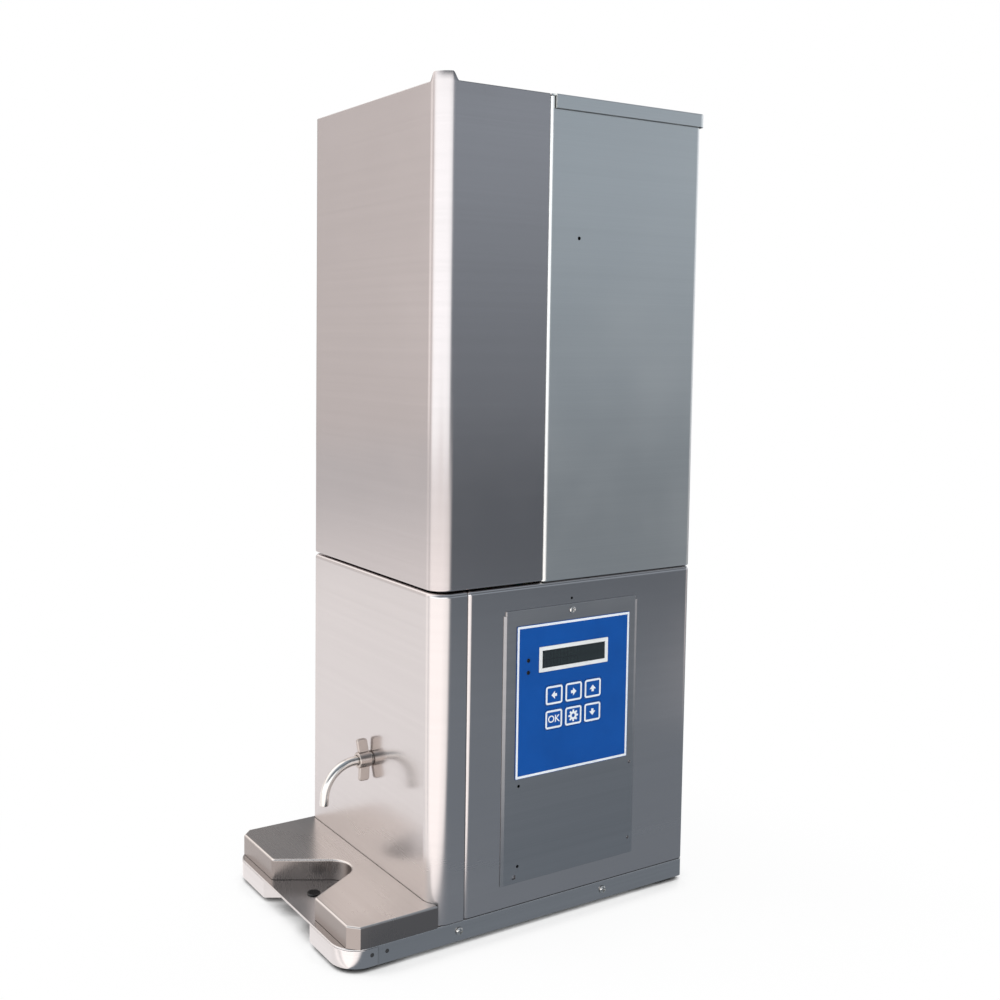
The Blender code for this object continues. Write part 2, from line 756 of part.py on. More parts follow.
def deck():
    """The shelf under the casing's top flange, which carries the tank and its coupling."""
    x = SIDE - TOP_BEND_R
    front = SPLIT + TOP_BEND_R + GAP
    hole = circle(LINE_X, OUTLET, COUPLING_R + GAP, ROUND_STEPS)
    outline = rect(-x, x, front, BACK - TOP_BEND_R)
    shelf = plate("deck", [outline, hole], DECK_TOP - DECK_T, DECK_TOP)
    dress(shelf, STEEL)


def hose_tail(start, end):
    """Profile points down a tail with small ridges that hold a hose."""
    step = (start - end) / TAIL_RIDGES
    points = []
    for k in range(TAIL_RIDGES):
        points.append((TAIL_R + TAIL_RIDGE, start - k * step))
        points.append((TAIL_R - TAIL_RIDGE, start - (k + 1) * step))
    return points


def deck_coupling():
    """The socket in the deck that the tank's outlet drops into, with a hose tail below."""
    low = -COUPLING_DEPTH
    lip = COUPLING_FLANGE_T + GAP
    outer = [(COUPLING_FLANGE_R, lip), (COUPLING_FLANGE_R, GAP), (COUPLING_R, GAP), (COUPLING_R, low)]
    inner = [(TAIL_BORE_R, low - TAIL_L), (TAIL_BORE_R, low + COUPLING_SEAT)]
    inner += [(OUTLET_R + GAP, low + COUPLING_SEAT), (OUTLET_R + GAP, lip)]
    profile = [*outer, *hose_tail(low, low - TAIL_L), *inner]
    ring = turned("deck_coupling", profile, (LINE_X, OUTLET, DECK_TOP), ring=True)
    dress(ring, DARK)


def hood_rests():
    """Two stepped pins on the panel's top edge: each sets the hood's height and enters its flange."""
    shoulder = HOOD_LOW - GAP - SEAM
    top = shoulder + REST_PIN_H
    profile = [(0, top), (REST_PIN_R, top), (REST_PIN_R, shoulder), (REST_R, shoulder), (REST_R, GAP)]
    profile += [(REST_PIN_R, GAP), (REST_PIN_R, -REST_STEM), (0, -REST_STEM)]
    for side, sign in (("left", -1), ("right", 1)):
        place = (sign * REST_X, rest_y(), SEAM)
        dress(turned(f"hood_rest_{side}", profile, place, steps=SMALL_STEPS), DARK)


def hood_tab():
    """The solid that spares the tab on the hood's right corner when the hood's top is cut level."""
    base = TAB_BASE_W / 2
    top = TAB_TOP_W / 2
    high = TOP + TAB_H
    corners = [(-base, TOP - OVER, 0), (base, TOP - OVER, 0), (base, TOP, TAB_SHOULDER_R)]
    corners += [(top, high, TAB_SHOULDER_R), (-top, high, TAB_SHOULDER_R), (-base, TOP, TAB_SHOULDER_R)]
    turn = Matrix.Rotation(math.pi / 4, 4, "Z")
    centre = Matrix.Translation((SIDE - CORNER_R, FRONT + CORNER_R, 0))
    spare = plate("tab_outline", [fillet(corners)], 0, CORNER_R + OVER, centre @ turn @ FORWARD)
    core = plate("tab_core", [front_outline(HOOD_BACK, SHEET)], TOP - OVER - OVER, high + OVER)
    return cut(spare, core)


def front_hood():
    """The upper front cover: front, both side returns, a flat top and one corner tab."""
    hood = plate("front_hood", [front_outline(HOOD_BACK)], HOOD_LOW, TOP + TAB_H + GAP)
    inner = front_outline(HOOD_BACK + OVER, SHEET)
    cut(hood, plate("hood_core", [inner], HOOD_LOW + SHEET, TOP - SHEET))
    x = SIDE - SHEET
    flange = rect(-x, x, FRONT + FLANGE, HOOD_BACK + OVER)
    cut(hood, plate("hood_bottom", [flange], HOOD_LOW - OVER, HOOD_LOW + SHEET + GAP))
    wide = SIDE + OVER
    level_high = (wide, HOOD_BACK + OVER, TOP + TAB_H + OVER)
    level = box("hood_level", (-wide, FRONT - OVER, TOP), level_high)
    cut(hood, cut(level, hood_tab()))
    pins = [circle(side * REST_X, rest_y(), REST_PIN_R + SLIP) for side in (-1, 1)]
    cut(hood, plate("hood_pin_holes", pins, HOOD_LOW - OVER, HOOD_LOW + OVER))
    dress(hood, STEEL)


def housing_outline(inset):
    x = SIDE - inset
    front = max(EDGE_R - inset, 0)
    rear = max(REAR_R - inset, 0)
    return rect(-x, x, HOOD_BACK + SLIP + inset, BACK - inset, front, rear)


def rear_housing():
    """The upper rear sides and back, open at the top and front, flanged in at the front and bottom."""
    low = SEAM + GAP
    high = TOP - SHEET - GAP
    housing = plate("rear_housing", [housing_outline(0)], low, high)
    cut(housing, plate("housing_core", [housing_outline(SHEET)], low + SHEET, high + OVER))
    x = SIDE - FLANGE
    floor = rect(-x, x, HOOD_BACK - OVER, BACK - FLANGE)
    cut(housing, plate("housing_floor", [floor], low - OVER, low + OVER))
    mouth_low = (-x, HOOD_BACK - OVER, low - OVER)
    mouth_high = (x, HOOD_BACK + OVER, high + OVER)
    cut(housing, box("housing_mouth", mouth_low, mouth_high))
    hole = circle(FRONT + HOUSING_HOLE_Y, FLOOR + HOUSING_HOLE_Z, HOUSING_HOLE_R)
    cut(housing, plate("housing_hole", [hole], SIDE - OVER, SIDE + OVER, RIGHT))
    dress(housing, STEEL)


def rear_lid():
    """The lift-off cover: a narrower front edge up to the hood, then a lip turned down all round."""
    low = TOP - LID_LIP
    front = HOOD_BACK + LID_GAP
    lip = HOOD_BACK + LID_SET_BACK
    x = SIDE + LID_OVERHANG
    back = BACK + LID_OVERHANG
    lid = plate("rear_lid", [rect(-x, x, front, back, 0, LID_R)], low, TOP)
    inner = rect(SHEET - x, x - SHEET, front - OVER, back - SHEET, 0, LID_R - SHEET)
    cut(lid, plate("lid_core", [inner], low - OVER, TOP - SHEET))
    for side, x0, x1 in (("left", -x - OVER, -SIDE), ("right", SIDE, x + OVER)):
        corner_high = (x1, lip, TOP + OVER)
        cut(lid, box(f"lid_corner_{side}", (x0, front - OVER, low - OVER), corner_high))
    dress(lid, STEEL)


def tank_outline(inset):
    x = TANK_W / 2 - inset
    front = FRONT + TANK_FRONT + inset
    return rect(-x, x, front, BACK - TANK_BACK_ROOM - inset, TANK_R - inset)


def tank_levels():
    """Heights of the tank's foot, its floor at the front, and its rim."""
    foot = DECK_TOP + GAP
    floor = foot + TANK_SKIRT_H + TANK_FLOOR
    return foot, floor, TOP - TANK_HEADROOM


def sauce_tank():
    """The open tank on its skirt, its floor falling to the outlet at the front."""
    foot, floor, rim = tank_levels()
    tank = plate("sauce_tank", [tank_outline(0)], foot, rim)
    join(tank, plate("tank_rim", [tank_outline(-TANK_RIM)], rim - TANK_RIM_H, rim - TANK_RIM / 2))
    inside = plate("tank_inside", [tank_outline(TANK_WALL)], floor, rim + OVER)
    lowest = min(vert.co.z for vert in inside.data.vertices)
    front = FRONT + TANK_FRONT + TANK_WALL
    for vert in inside.data.vertices:
        if vert.co.z < lowest + WELD:
            vert.co.z += (vert.co.y - front) * TANK_FALL_SHARE
    cut(tank, inside)
    skirt = tank_outline(TANK_WALL)
    cut(tank, plate("tank_skirt", [skirt], foot - OVER, foot + TANK_SKIRT_H))
    well = circle(LINE_X, OUTLET, WELL_R, ROUND_STEPS)
    cut(tank, plate("tank_well", [well], floor - WELL_DEPTH, floor + OVER))
    hole = circle(LINE_X, OUTLET, OUTLET_R + GAP, ROUND_STEPS)
    cut(tank, plate("tank_outlet_hole", [hole], foot - OVER, floor + OVER))
    dress(tank, MILKY)


def tank_outlet():
    """The spigot through the tank's floor, flanged above it, that enters the deck's coupling."""
    foot, floor, _ = tank_levels()
    seat = floor - WELL_DEPTH + GAP
    top = OUTLET_FLANGE_T
    end = DECK_TOP - OUTLET_REACH - seat
    profile = [(OUTLET_FLANGE_R, top), (OUTLET_FLANGE_R, 0), (OUTLET_R, 0), (OUTLET_R, end)]
    profile += [(OUTLET_BORE_R, end), (OUTLET_BORE_R, top)]
    dress(turned("tank_outlet", profile, (LINE_X, OUTLET, seat), ring=True), STEEL)


def hose_points(extra):
    """The hose's line: down from the deck, back over the pump, round it and forward to the spout."""
    tail = DECK_TOP - COUPLING_DEPTH - GAP
    inlet_z = PUMP_Z + WRAP_R
    bend_y = OUTLET + HOSE_BEND_R
    bend_z = inlet_z + HOSE_BEND_R
    path = [(OUTLET, tail + extra)]
    path += arc((bend_y, bend_z), HOSE_BEND_R, math.pi, math.pi * 1.5)
    path += arc((PUMP_Y, PUMP_Z), WRAP_R, math.pi / 2, -math.pi / 2)
    spout_end = FRONT + SHEET + GAP + SLEEVE_FLANGE_T + GAP
    path.append((spout_end - extra, SPOUT_AXIS))
    return [(LINE_X, y, z) for y, z in path]


def pump_hose():
    """One silicone hose from the deck's coupling to the spout's sleeve, along the pump's track."""
    hose = tube("pump_hose", hose_points(0), HOSE_R, 3)
    cut(hose, tube("hose_bore", hose_points(OVER), HOSE_BORE_R, 3))
    dress(hose, SILICONE)


def spout_sleeve():
    """The threaded sleeve through the front panel: flange behind it, hose tail at the back."""
    flange = -SHEET - GAP
    behind = flange - SLEEVE_FLANGE_T
    seat = -SPOUT_IN - GAP
    profile = [(SLEEVE_R, SLEEVE_OUT), (SLEEVE_R, flange), (SLEEVE_FLANGE_R, flange)]
    profile += [(SLEEVE_FLANGE_R, behind), *hose_tail(behind, behind - TAIL_L)]
    profile += [(TAIL_BORE_R, behind - TAIL_L), (TAIL_BORE_R, seat)]
    profile += [(SPOUT_R + GAP, seat), (SPOUT_R + GAP, SLEEVE_OUT)]
    place = (LINE_X, FRONT, SPOUT_AXIS)
    dress(turned("spout_sleeve", profile, place, FORWARD, ring=True), BRIGHT)


def wing_outline():
    """Both wings in side view: (distance out from the panel, height), waisted at the hub."""
    span = WING_SPAN / 2
    near = NUT_FACE
    far = NUT_FACE + NUT_L
    waist = WING_WAIST / 2
    upper = [(far - WING_FLARE, waist, WING_R), (far, span, WING_R), (near + WING_FLARE, span, WING_R)]
    upper.append((near, waist, WING_R))
    lower = [(x, -z, r) for x, z, r in reversed(upper)]
    return fillet([*upper, *lower])


def wing_nut():
    """The wing nut on the spout's sleeve, its wings up and down with a slight tilt."""
    near = NUT_FACE
    far = NUT_FACE + NUT_L
    outer = [(0, far), (NUT_HUB_R - WING_FLARE / 2, far), (NUT_HUB_R, far - WING_FLARE / 2)]
    outer += [(NUT_HUB_R, near), (0, near)]
    tilt = Matrix.Rotation(NUT_TILT, 4, "Z")
    axis = FORWARD @ tilt
    place = Vector((LINE_X, FRONT, SPOUT_AXIS))
    nut = turned("wing_nut", outer, place, axis, SMALL_STEPS)
    side_on = Matrix(((0, 0, 1, 0), (0, 1, 0, 0), (1, 0, 0, 0), (0, 0, 0, 1)))
    frame = Matrix.Translation(place) @ axis @ side_on
    wings = plate("nut_wings", [wing_outline()], -WING_T / 2, WING_T / 2, frame)
    join(nut, wings)
    throat = SPOUT_R + GAP
    bore = [(throat, far + OVER), (throat, far - NUT_SHOULDER), (SLEEVE_R + GAP, far - NUT_SHOULDER)]
    bore += [(SLEEVE_R + GAP, near - OVER), (0, near - OVER)]
    bore = [(0, far + OVER), *bore]
    cut(nut, turned("nut_bore", bore, place, axis, SMALL_STEPS))
    dress(nut, BRIGHT)


def spout_seal():
    """The ring squeezed between the sleeve's end and the wing nut's shoulder."""
    low = SLEEVE_OUT + GAP
    high = low + SEAL_T
    inner = SPOUT_R + GAP
    outer = SLEEVE_R
    profile = [(outer, high), (outer, low), (inner, low), (inner, high)]
    place = (LINE_X, FRONT, SPOUT_AXIS)
    dress(turned("spout_seal", profile, place, FORWARD, SMALL_STEPS, ring=True), DARK)


def spout_points(extra):
    """The spout's line in its own frame: out of the panel, round the bend and down."""
    bend = arc((0, 0), SPOUT_BEND_R, math.pi / 2, math.pi / 2 - SPOUT_TILT)
    start = -SPOUT_STRAIGHT
    path = [(SPOUT_IN + extra, 0)]
    path += [(start - x, z - SPOUT_BEND_R) for x, z in bend]
    y, z = path[-1]
    along = (-math.cos(SPOUT_TILT), -math.sin(SPOUT_TILT))
    length = (SPOUT_DROP + z) / math.sin(SPOUT_TILT) + extra
    path.append((y + along[0] * length, z + along[1] * length))
    return [(0, y, z) for y, z in path]


def spout_tube():
    """The bent tube, which turns about the axis that it leaves the panel on."""
    place = Matrix.Translation((LINE_X, FRONT, SPOUT_AXIS))
    made = tube("spout_tube", spout_points(0), SPOUT_R - GAP / 2, 6)
    bore = tube("spout_bore", spout_points(OVER), SPOUT_BORE_R - GAP / 2, 4)
    made.matrix_world = place
    bore.matrix_world = place
    cut(made, bore)
    dress(made, BRIGHT)


def pump_outline(reach):
    y0 = PUMP_Y - reach
    y1 = PUMP_Y + TRACK_R + TRACK_WALL
    z = TRACK_R + TRACK_WALL
    return rect(y0, y1, PUMP_Z - z, PUMP_Z + z, TRACK_EDGE_R)


def pump_stack():
    """X positions of the pump's layers: back plate's rear, track's rear, track's front."""
    reach = ROLLER_L / 2 + GAP + ROTOR_DISC_T + GAP
    return LINE_X - reach - TRACK_BACK_T, LINE_X - reach, LINE_X + reach


def pump_housing():
    """The pump's back plate with its half-round track, open to the front for the hose."""
    rear, track_rear, track_front = pump_stack()
    shaft = circle(PUMP_Y, PUMP_Z, SHAFT_R + SLIP)
    made = plate("pump_housing", [pump_outline(TRACK_FRONT_REACH), shaft], rear, track_rear, RIGHT)
    quarter = math.pi / 2
    inner = arc((PUMP_Y, PUMP_Z), TRACK_R, quarter, -quarter)
    outer = arc((PUMP_Y, PUMP_Z), TRACK_R + TRACK_WALL - GAP, -quarter, quarter)
    join(made, plate("track", [inner + outer], track_rear - BOOL_OVERLAP, track_front, RIGHT))
    dress(made, DARK)


def pump_cover():
    """The clear plate over the rotor."""
    track_front = pump_stack()[2] + GAP
    outline = pump_outline(TRACK_FRONT_REACH)
    made = plate("pump_cover", [outline], track_front, track_front + COVER_T, RIGHT)
    dress(made, CLEAR)


def roller_places():
    turns = [math.pi / 2 + 2 * math.pi * k / ROLLER_COUNT for k in range(ROLLER_COUNT)]
    return [(ROLLER_ORBIT * math.cos(t), ROLLER_ORBIT * math.sin(t)) for t in turns]


def pump_rotor():
    """Two discs on a hub with the roller pins between them."""
    half = ROLLER_L / 2 + GAP
    deep = half + ROTOR_DISC_T
    place = (LINE_X, PUMP_Y, PUMP_Z)
    profile = [(0, deep), (ROTOR_R, deep), (ROTOR_R, half), (ROTOR_HUB_R, half)]
    profile += [(ROTOR_HUB_R, -half), (ROTOR_R, -half), (ROTOR_R, -deep), (0, -deep)]
    rotor = turned("pump_rotor", profile, place, RIGHT)
    for k, (y, z) in enumerate(roller_places()):
        pin = circle(y, z, ROLLER_PIN_R, HOLE_STEPS)
        frame = Matrix.Translation(place) @ RIGHT
        join(rotor, plate(f"roller_pin_{k}", [pin], -half - BOOL_OVERLAP, half + BOOL_OVERLAP, frame))
    bore = circle(0, 0, SHAFT_R + GAP)
    frame = Matrix.Translation(place) @ RIGHT
    cut(rotor, plate("rotor_bore", [bore], -deep - OVER, half, frame))
    dress(rotor, BRIGHT)


def pump_rollers():
    half = ROLLER_L / 2
    round_off = BOOL_OVERLAP
    profile = [(ROLLER_R - round_off, half), (ROLLER_R, half - round_off)]
    profile += [(ROLLER_R, round_off - half), (ROLLER_R - round_off, -half)]
    profile += [(ROLLER_BORE_R, -half), (ROLLER_BORE_R, half)]
    for k, (y, z) in enumerate(roller_places(), 1):
        place = (LINE_X, PUMP_Y + y, PUMP_Z + z)
        dress(turned(f"pump_roller_{k}", profile, place, RIGHT, SMALL_STEPS, ring=True), WHITE)


def pump_bracket():
    """The angle plate on the base sheet that the pump and its gearbox are fixed to."""
    rear = pump_stack()[0] - GAP
    low = SHEET_TOP + GAP
    y0 = PUMP_Y - TRACK_FRONT_REACH
    y1 = PUMP_Y + TRACK_R + TRACK_WALL
    high = PUMP_Z + TRACK_R + TRACK_WALL + BRACKET_RISE
    path = [(rear - BRACKET_FOOT, low, 0), (rear, low, BRACKET_BEND_R), (rear, high, 0)]
    path = fillet(path, closed=False)
    inner = offset(path, BRACKET_T, closed=False)
    made = plate("pump_bracket", [path + inner[::-1]], -y1, -y0, FORWARD)
    hole = circle(PUMP_Y, PUMP_Z, BRACKET_HOLE_R)
    cut(made, plate("bracket_hole", [hole], rear - OVER, rear + OVER, RIGHT))
    dress(made, ZINC)


def gearbox():
    front = pump_stack()[0] - GAP - BRACKET_T - GAP
    half = GEARBOX_W / 2
    c = GEARBOX_CHAMFER
    corners = [(PUMP_Y - half, PUMP_Z - half, c), (PUMP_Y + half, PUMP_Z - half, c)]
    corners += [(PUMP_Y + half, PUMP_Z + half, c), (PUMP_Y - half, PUMP_Z + half, c)]
    shaft = circle(PUMP_Y, PUMP_Z, SHAFT_R + GAP)
    made = plate("gearbox", [fillet(corners), shaft], front - GEARBOX_D, front, RIGHT)
    dress(made, ZINC)


def gear_motor():
    start = pump_stack()[0] - GAP - BRACKET_T - GAP - GEARBOX_D - GAP
    profile = [(0, 0), (MOTOR_R, 0), (MOTOR_R, -MOTOR_L), (MOTOR_STEP_R, -MOTOR_L)]
    end = -MOTOR_L - MOTOR_STEP
    profile += [(MOTOR_STEP_R, end), (0, end)]
    dress(turned("gear_motor", profile, (start, PUMP_Y, PUMP_Z), RIGHT), ZINC)


def motor_shaft():
    """The gearbox's shaft, flattened on one side, up into the rotor's hub."""
    front = pump_stack()[0] - GAP - BRACKET_T - GAP
    place = Matrix.Translation((0, PUMP_Y, PUMP_Z)) @ RIGHT
    flat = math.acos((SHAFT_R - SHAFT_FLAT) / SHAFT_R)
    outline = arc((0, 0), SHAFT_R, flat, 2 * math.pi - flat)
    tip = LINE_X + ROLLER_L / 2 - GAP
    made = plate("motor_shaft", [outline], front - GEARBOX_D + GAP, tip, place)
    dress(made, BRIGHT)


def power_supply():
    """The supply's case on the base sheet, slotted along its top."""
    low = SHEET_TOP + GAP
    back = BACK - SHEET - SUPPLY_ROOM - INLET_DEPTH
    x0 = SUPPLY_X - SUPPLY_W / 2
    y0 = back - SUPPLY_D
    made = box("power_supply", (x0, y0, low), (x0 + SUPPLY_W, back, low + SUPPLY_H))
    pitch = SUPPLY_W / (SUPPLY_SLOTS + 1)
    inner = SUPPLY_D / (SUPPLY_SLOTS - 1)
    loops = []
    for k in range(SUPPLY_SLOTS):
        x = x0 + (k + 1) * pitch
        loops.append(rect(x - SUPPLY_SLOT_W / 2, x + SUPPLY_SLOT_W / 2, y0 + inner, back - inner))
    high = low + SUPPLY_H
    cut(made, plate("supply_slots", loops, high - SUPPLY_SLOT_DEPTH, high + OVER))
    dress(made, ZINC)


def power_inlet():
    """The mains socket and the switch's well, in one flanged module in the back."""
    z = FLOOR + INLET_Z
    x = INLET_X
    half_w = INLET_W / 2
    half_h = INLET_H / 2
    face = BACK + INLET_PROUD
    flange = rect(x - half_w, x + half_w, z - half_h, z + half_h, INLET_R)
    made = plate("power_inlet", [flange], -face, -BACK - GAP, FORWARD)
    w = INLET_WALL
    body = rect(x - half_w + w, x + half_w - w, z - half_h + w, z + half_h - w)
    join(made, plate("inlet_body", [body], -BACK - GAP - BOOL_OVERLAP, INLET_DEPTH - BACK, FORWARD))
    mid = z - SOCKET_DROP
    sx = SOCKET_W / 2
    sz = SOCKET_H / 2
    c = SOCKET_CHAMFER
    socket = [(x - sx, mid - sz), (x + sx, mid - sz), (x + sx, mid + sz - c), (x + sx - c, mid + sz)]
    socket += [(x - sx + c, mid + sz), (x - sx, mid + sz - c)]
    floor = SOCKET_DEPTH - face
    cut(made, plate("inlet_socket", [socket], -face - OVER, floor, FORWARD))
    for k, rise in ((-1, -BLADE_RISE), (0, BLADE_RISE), (1, -BLADE_RISE)):
        bx = x + k * BLADE_PITCH
        bz = mid + rise
        blade = rect(bx - BLADE_W / 2, bx + BLADE_W / 2, bz - BLADE_H / 2, bz + BLADE_H / 2)
        join(made, plate(f"inlet_blade_{k}", [blade], floor - BLADE_L, floor + BOOL_OVERLAP, FORWARD))
    rx = ROCKER_W / 2 + ROCKER_ROOM / 2
    rz = ROCKER_H / 2 + ROCKER_ROOM
    well_mid = z + ROCKER_RISE
    well = rect(x - rx, x + rx, well_mid - rz, well_mid + rz)
    well_floor = ROCKER_PIVOT_IN + ROCKER_DEPTH - face
    cut(made, plate("rocker_well", [well], -face - OVER, well_floor, FORWARD))
    dress(made, DARK)


def power_switch():
    """The rocker on its pivot, lower end pressed in: off."""
    half = ROCKER_H / 2
    front = ROCKER_PIVOT_IN - ROCKER_DISH
    narrow = half - ROCKER_DISH
    rear = ROCKER_DISH - ROCKER_DEPTH
    outline = [(front, -half), (front - ROCKER_DISH, 0), (front, half), (-ROCKER_DISH, narrow)]
    outline += [(rear, ROCKER_DISH), (rear, -ROCKER_DISH), (-ROCKER_DISH, -narrow)]
    pivot_y = BACK + INLET_PROUD - ROCKER_PIVOT_IN
    pivot_z = FLOOR + INLET_Z + ROCKER_RISE
    frame = Matrix.Translation((INLET_X, pivot_y, pivot_z))
    tilt = Matrix.Rotation(-ROCKER_TILT, 4, "X")
    made = plate("power_switch", [outline], -ROCKER_W / 2, ROCKER_W / 2, frame @ tilt @ RIGHT)
    dress(made, DARK)


def control_plate():
    """The service plate on the right side: bent edges, relief notches, screw hole and small holes."""
    y0 = FRONT + PLATE_Y0
    y1 = FRONT + PLATE_Y1
    z0 = FLOOR + PLATE_Z0
    z1 = FLOOR + PLATE_Z1
    w = RELIEF_W
    h = RELIEF_H
    outer = [(y0, z0), (y1, z0), (y1, z1 - h), (y1 - w, z1 - h), (y1 - w, z1)]
    outer += [(y0 + w, z1), (y0 + w, z1 - h), (y0, z1 - h)]
    made = plate("control_plate", [outer], PLATE_X, PLATE_X + PLATE_T, RIGHT)
    holes = [circle(FRONT + PLATE_SCREW_Y, FLOOR + PLATE_SCREW_Z, SCREW_R + GAP, HOLE_STEPS)]
    for y in (PLATE_HOLE_Y0, PLATE_HOLE_Y1):
        for z in (PLATE_HOLE_Z0, PLATE_HOLE_Z1):
            holes.append(circle(FRONT + y, FLOOR + z, PLATE_HOLE_R, HOLE_STEPS))
    s = SQUARE_HOLE / 2
    y = FRONT + SQUARE_HOLE_Y
    z = FLOOR + SQUARE_HOLE_Z
    holes.append(rect(y - s, y + s, z - s, z + s))
    glass = pane_bounds()
    holes.append(rect(glass[0] - GAP, glass[1] + GAP, glass[2] - GAP, glass[3] + GAP))
    cut(made, plate("plate_holes", holes, PLATE_X - OVER, PLATE_X + OVER, RIGHT))
    for name, y, side in (("front", y0, -1), ("rear", y1, 1)):
        wedge = box(f"plate_bend_{name}", (0, -PLATE_BEND, z0 - OVER), (OVER, PLATE_BEND, z1 + OVER))
        turn = Matrix.Rotation(-side * math.pi / 4, 4, "Z")
        edge = Matrix.Translation((PLATE_X + PLATE_T, y, 0))
        wedge.matrix_world = edge @ turn @ wedge.matrix_world
        cut(made, wedge)
    dress(made, STEEL)


def pane_bounds():
    """The display's dark window: Y and Z limits inside the white frame."""
    y0 = FRONT + FRAME_Y0 + FRAME_BAR
    y1 = FRONT + FRAME_Y1 - FRAME_BAR
    z0 = FLOOR + FRAME_Z0 + FRAME_BAR
    z1 = FLOOR + FRAME_Z1 - FRAME_BAR
    return y0, y1, z0, z1


def key_centres():
    """Name and centre of each key, from the lower row up."""
    names = (("ok", "settings", "down"), ("left", "right", "up"))
    keys = []
    for row, row_names in enumerate(names):
        z = FLOOR + KEY_Z + (row - 1 / 2) * KEY_PITCH_Z
        for column, name in enumerate(row_names):
            y = FRONT + KEY_Y + (column - (KEY_COLUMNS - 1) / 2) * KEY_PITCH_Y
            keys.append((name, y, z))
    return keys


def key_outline(y, z, margin=0):
    w = KEY_W / 2 + margin
    h = KEY_H / 2 + margin
    return rect(y - w, y + w, z - h, z + h, KEY_R + margin)


def led_places():
    return [(FRONT + LED_Y, FLOOR + LED_Z + side * LED_PITCH / 2) for side in (-1, 1)]


def keypad_film():
    """The coloured film on the plate, with openings for the keys, the display frame and the lamps."""
    loops = [rect(FRONT + FILM_Y0, FRONT + FILM_Y1, FLOOR + FILM_Z0, FLOOR + FILM_Z1, FILM_R)]
    loops += [key_outline(y, z, GAP) for _, y, z in key_centres()]
    y0 = FRONT + FRAME_Y0 - FILM_GAP
    y1 = FRONT + FRAME_Y1 + FILM_GAP
    loops.append(rect(y0, y1, FLOOR + FRAME_Z0 - FILM_GAP, FLOOR + FRAME_Z1 + FILM_GAP, FRAME_R))
    loops += [circle(y, z, LED_R + FILM_GAP) for y, z in led_places()]
    dress(plate("keypad_film", loops, FILM_X, FILM_X + FILM_T, RIGHT), BLUE)


def keys():
    for name, y, z in key_centres():
        frame = Matrix.Translation((0, y, z)) @ RIGHT
        made = plate(f"key_{name}", [key_outline(0, 0)], KEY_X, KEY_X + KEY_T, frame)
        dress(made, BLUE)


def display():
    """The white frame, the dark pane in it, and the display module behind the plate."""
    y0 = FRONT + FRAME_Y0
    y1 = FRONT + FRAME_Y1
    z0 = FLOOR + FRAME_Z0
    z1 = FLOOR + FRAME_Z1
    py0, py1, pz0, pz1 = pane_bounds()
    loops = [rect(y0, y1, z0, z1, FRAME_R), rect(py0, py1, pz0, pz1)]
    dress(plate("display_frame", loops, FILM_X, FILM_X + FRAME_T, RIGHT), WHITE)
    pane = rect(py0 + FILM_GAP, py1 - FILM_GAP, pz0 + FILM_GAP, pz1 - FILM_GAP)
    dress(plate("display_window", [pane], FILM_X, FILM_X + PANE_T, RIGHT), SMOKE)
    y = (py0 + py1) / 2
    z = (pz0 + pz1) / 2
    half_w = MODULE_W / 2
    half_h = MODULE_H / 2
    back = module_front() - MODULE_T
    body = rect(y - half_w, y + half_w, z - half_h, z + half_h)
    made = plate("display_module", [body], back, module_front(), RIGHT)
    raised = PLATE_X + PLATE_T
    join(made, plate("module_face", [pane], module_front() - BOOL_OVERLAP, raised, RIGHT))
    dress(made, SMOKE)


def module_front():
    return PLATE_X - GAP


def status_leds():
    for k, (y, z) in enumerate(led_places(), 1):
        profile = [(0, LED_T), (LED_R, LED_T), (LED_R, 0), (0, 0)]
        dress(turned(f"status_led_{k}", profile, (FILM_X, y, z), RIGHT, SMALL_STEPS), DARK)


def control_board():
    """The circuit board behind the display, on four standoffs that meet the plate."""
    y0 = FRONT + FILM_Y0 + BOARD_MARGIN
    y1 = FRONT + FILM_Y1 - BOARD_MARGIN
    z0 = FLOOR + FILM_Z0 - BOARD_DROP
    z1 = FLOOR + FILM_Z1 - BOARD_MARGIN
    front = module_front() - MODULE_T - GAP
    made = plate("control_board", [rect(y0, y1, z0, z1)], front - BOARD_T, front, RIGHT)
    posts = []
    for y in (y0 + STANDOFF_IN, y1 - STANDOFF_IN):
        for z in (z0 + STANDOFF_IN, z1 - STANDOFF_IN):
            posts.append(circle(y, z, STANDOFF_R, HOLE_STEPS))
    join(made, plate("board_posts", posts, front - BOARD_T / 2, module_front(), RIGHT))
    dress(made, BOARD_GREEN)


def plate_screw():
    place = (PLATE_X + PLATE_T + GAP, FRONT + PLATE_SCREW_Y, FLOOR + PLATE_SCREW_Z)
    screw("plate_screw", SMALL_HEAD_R, SMALL_HEAD_T, place, RIGHT)


def build():
    base_pan()
    base_front_band()
    drip_platform()
    sensor_window()
    feet()
    base_screws()
    lower_front_panel()
    lower_casing()
    deck()
    deck_coupling()
    hood_rests()
    front_hood()
    rear_housing()
    rear_lid()
    sauce_tank()
    tank_outlet()
    pump_hose()
    spout_sleeve()
    wing_nut()
    spout_seal()
    spout_tube()
    pump_housing()
    pump_cover()
    pump_rotor()
    pump_rollers()
    pump_bracket()
    gearbox()
    gear_motor()
    motor_shaft()
    power_supply()
    power_inlet()
    power_switch()
    control_plate()
    keypad_film()
    keys()
    display()
    status_leds()
    control_board()
    plate_screw()


build()
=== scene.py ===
"""The sauce dispenser's looks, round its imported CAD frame.

Folded stainless sheet makes the body: a lift-off hood and lid over a lower casing, on a low base with a
notched drip platform. A bent spout leaves the front through a wing nut, and a blue keypad is on the right.
Lengths are in metres, +Z is up and the front faces -Y.
"""

from math import cos, pi, radians, sin, tan, tau

import bmesh
import bpy
import numpy as np
from mathutils import Matrix, Vector


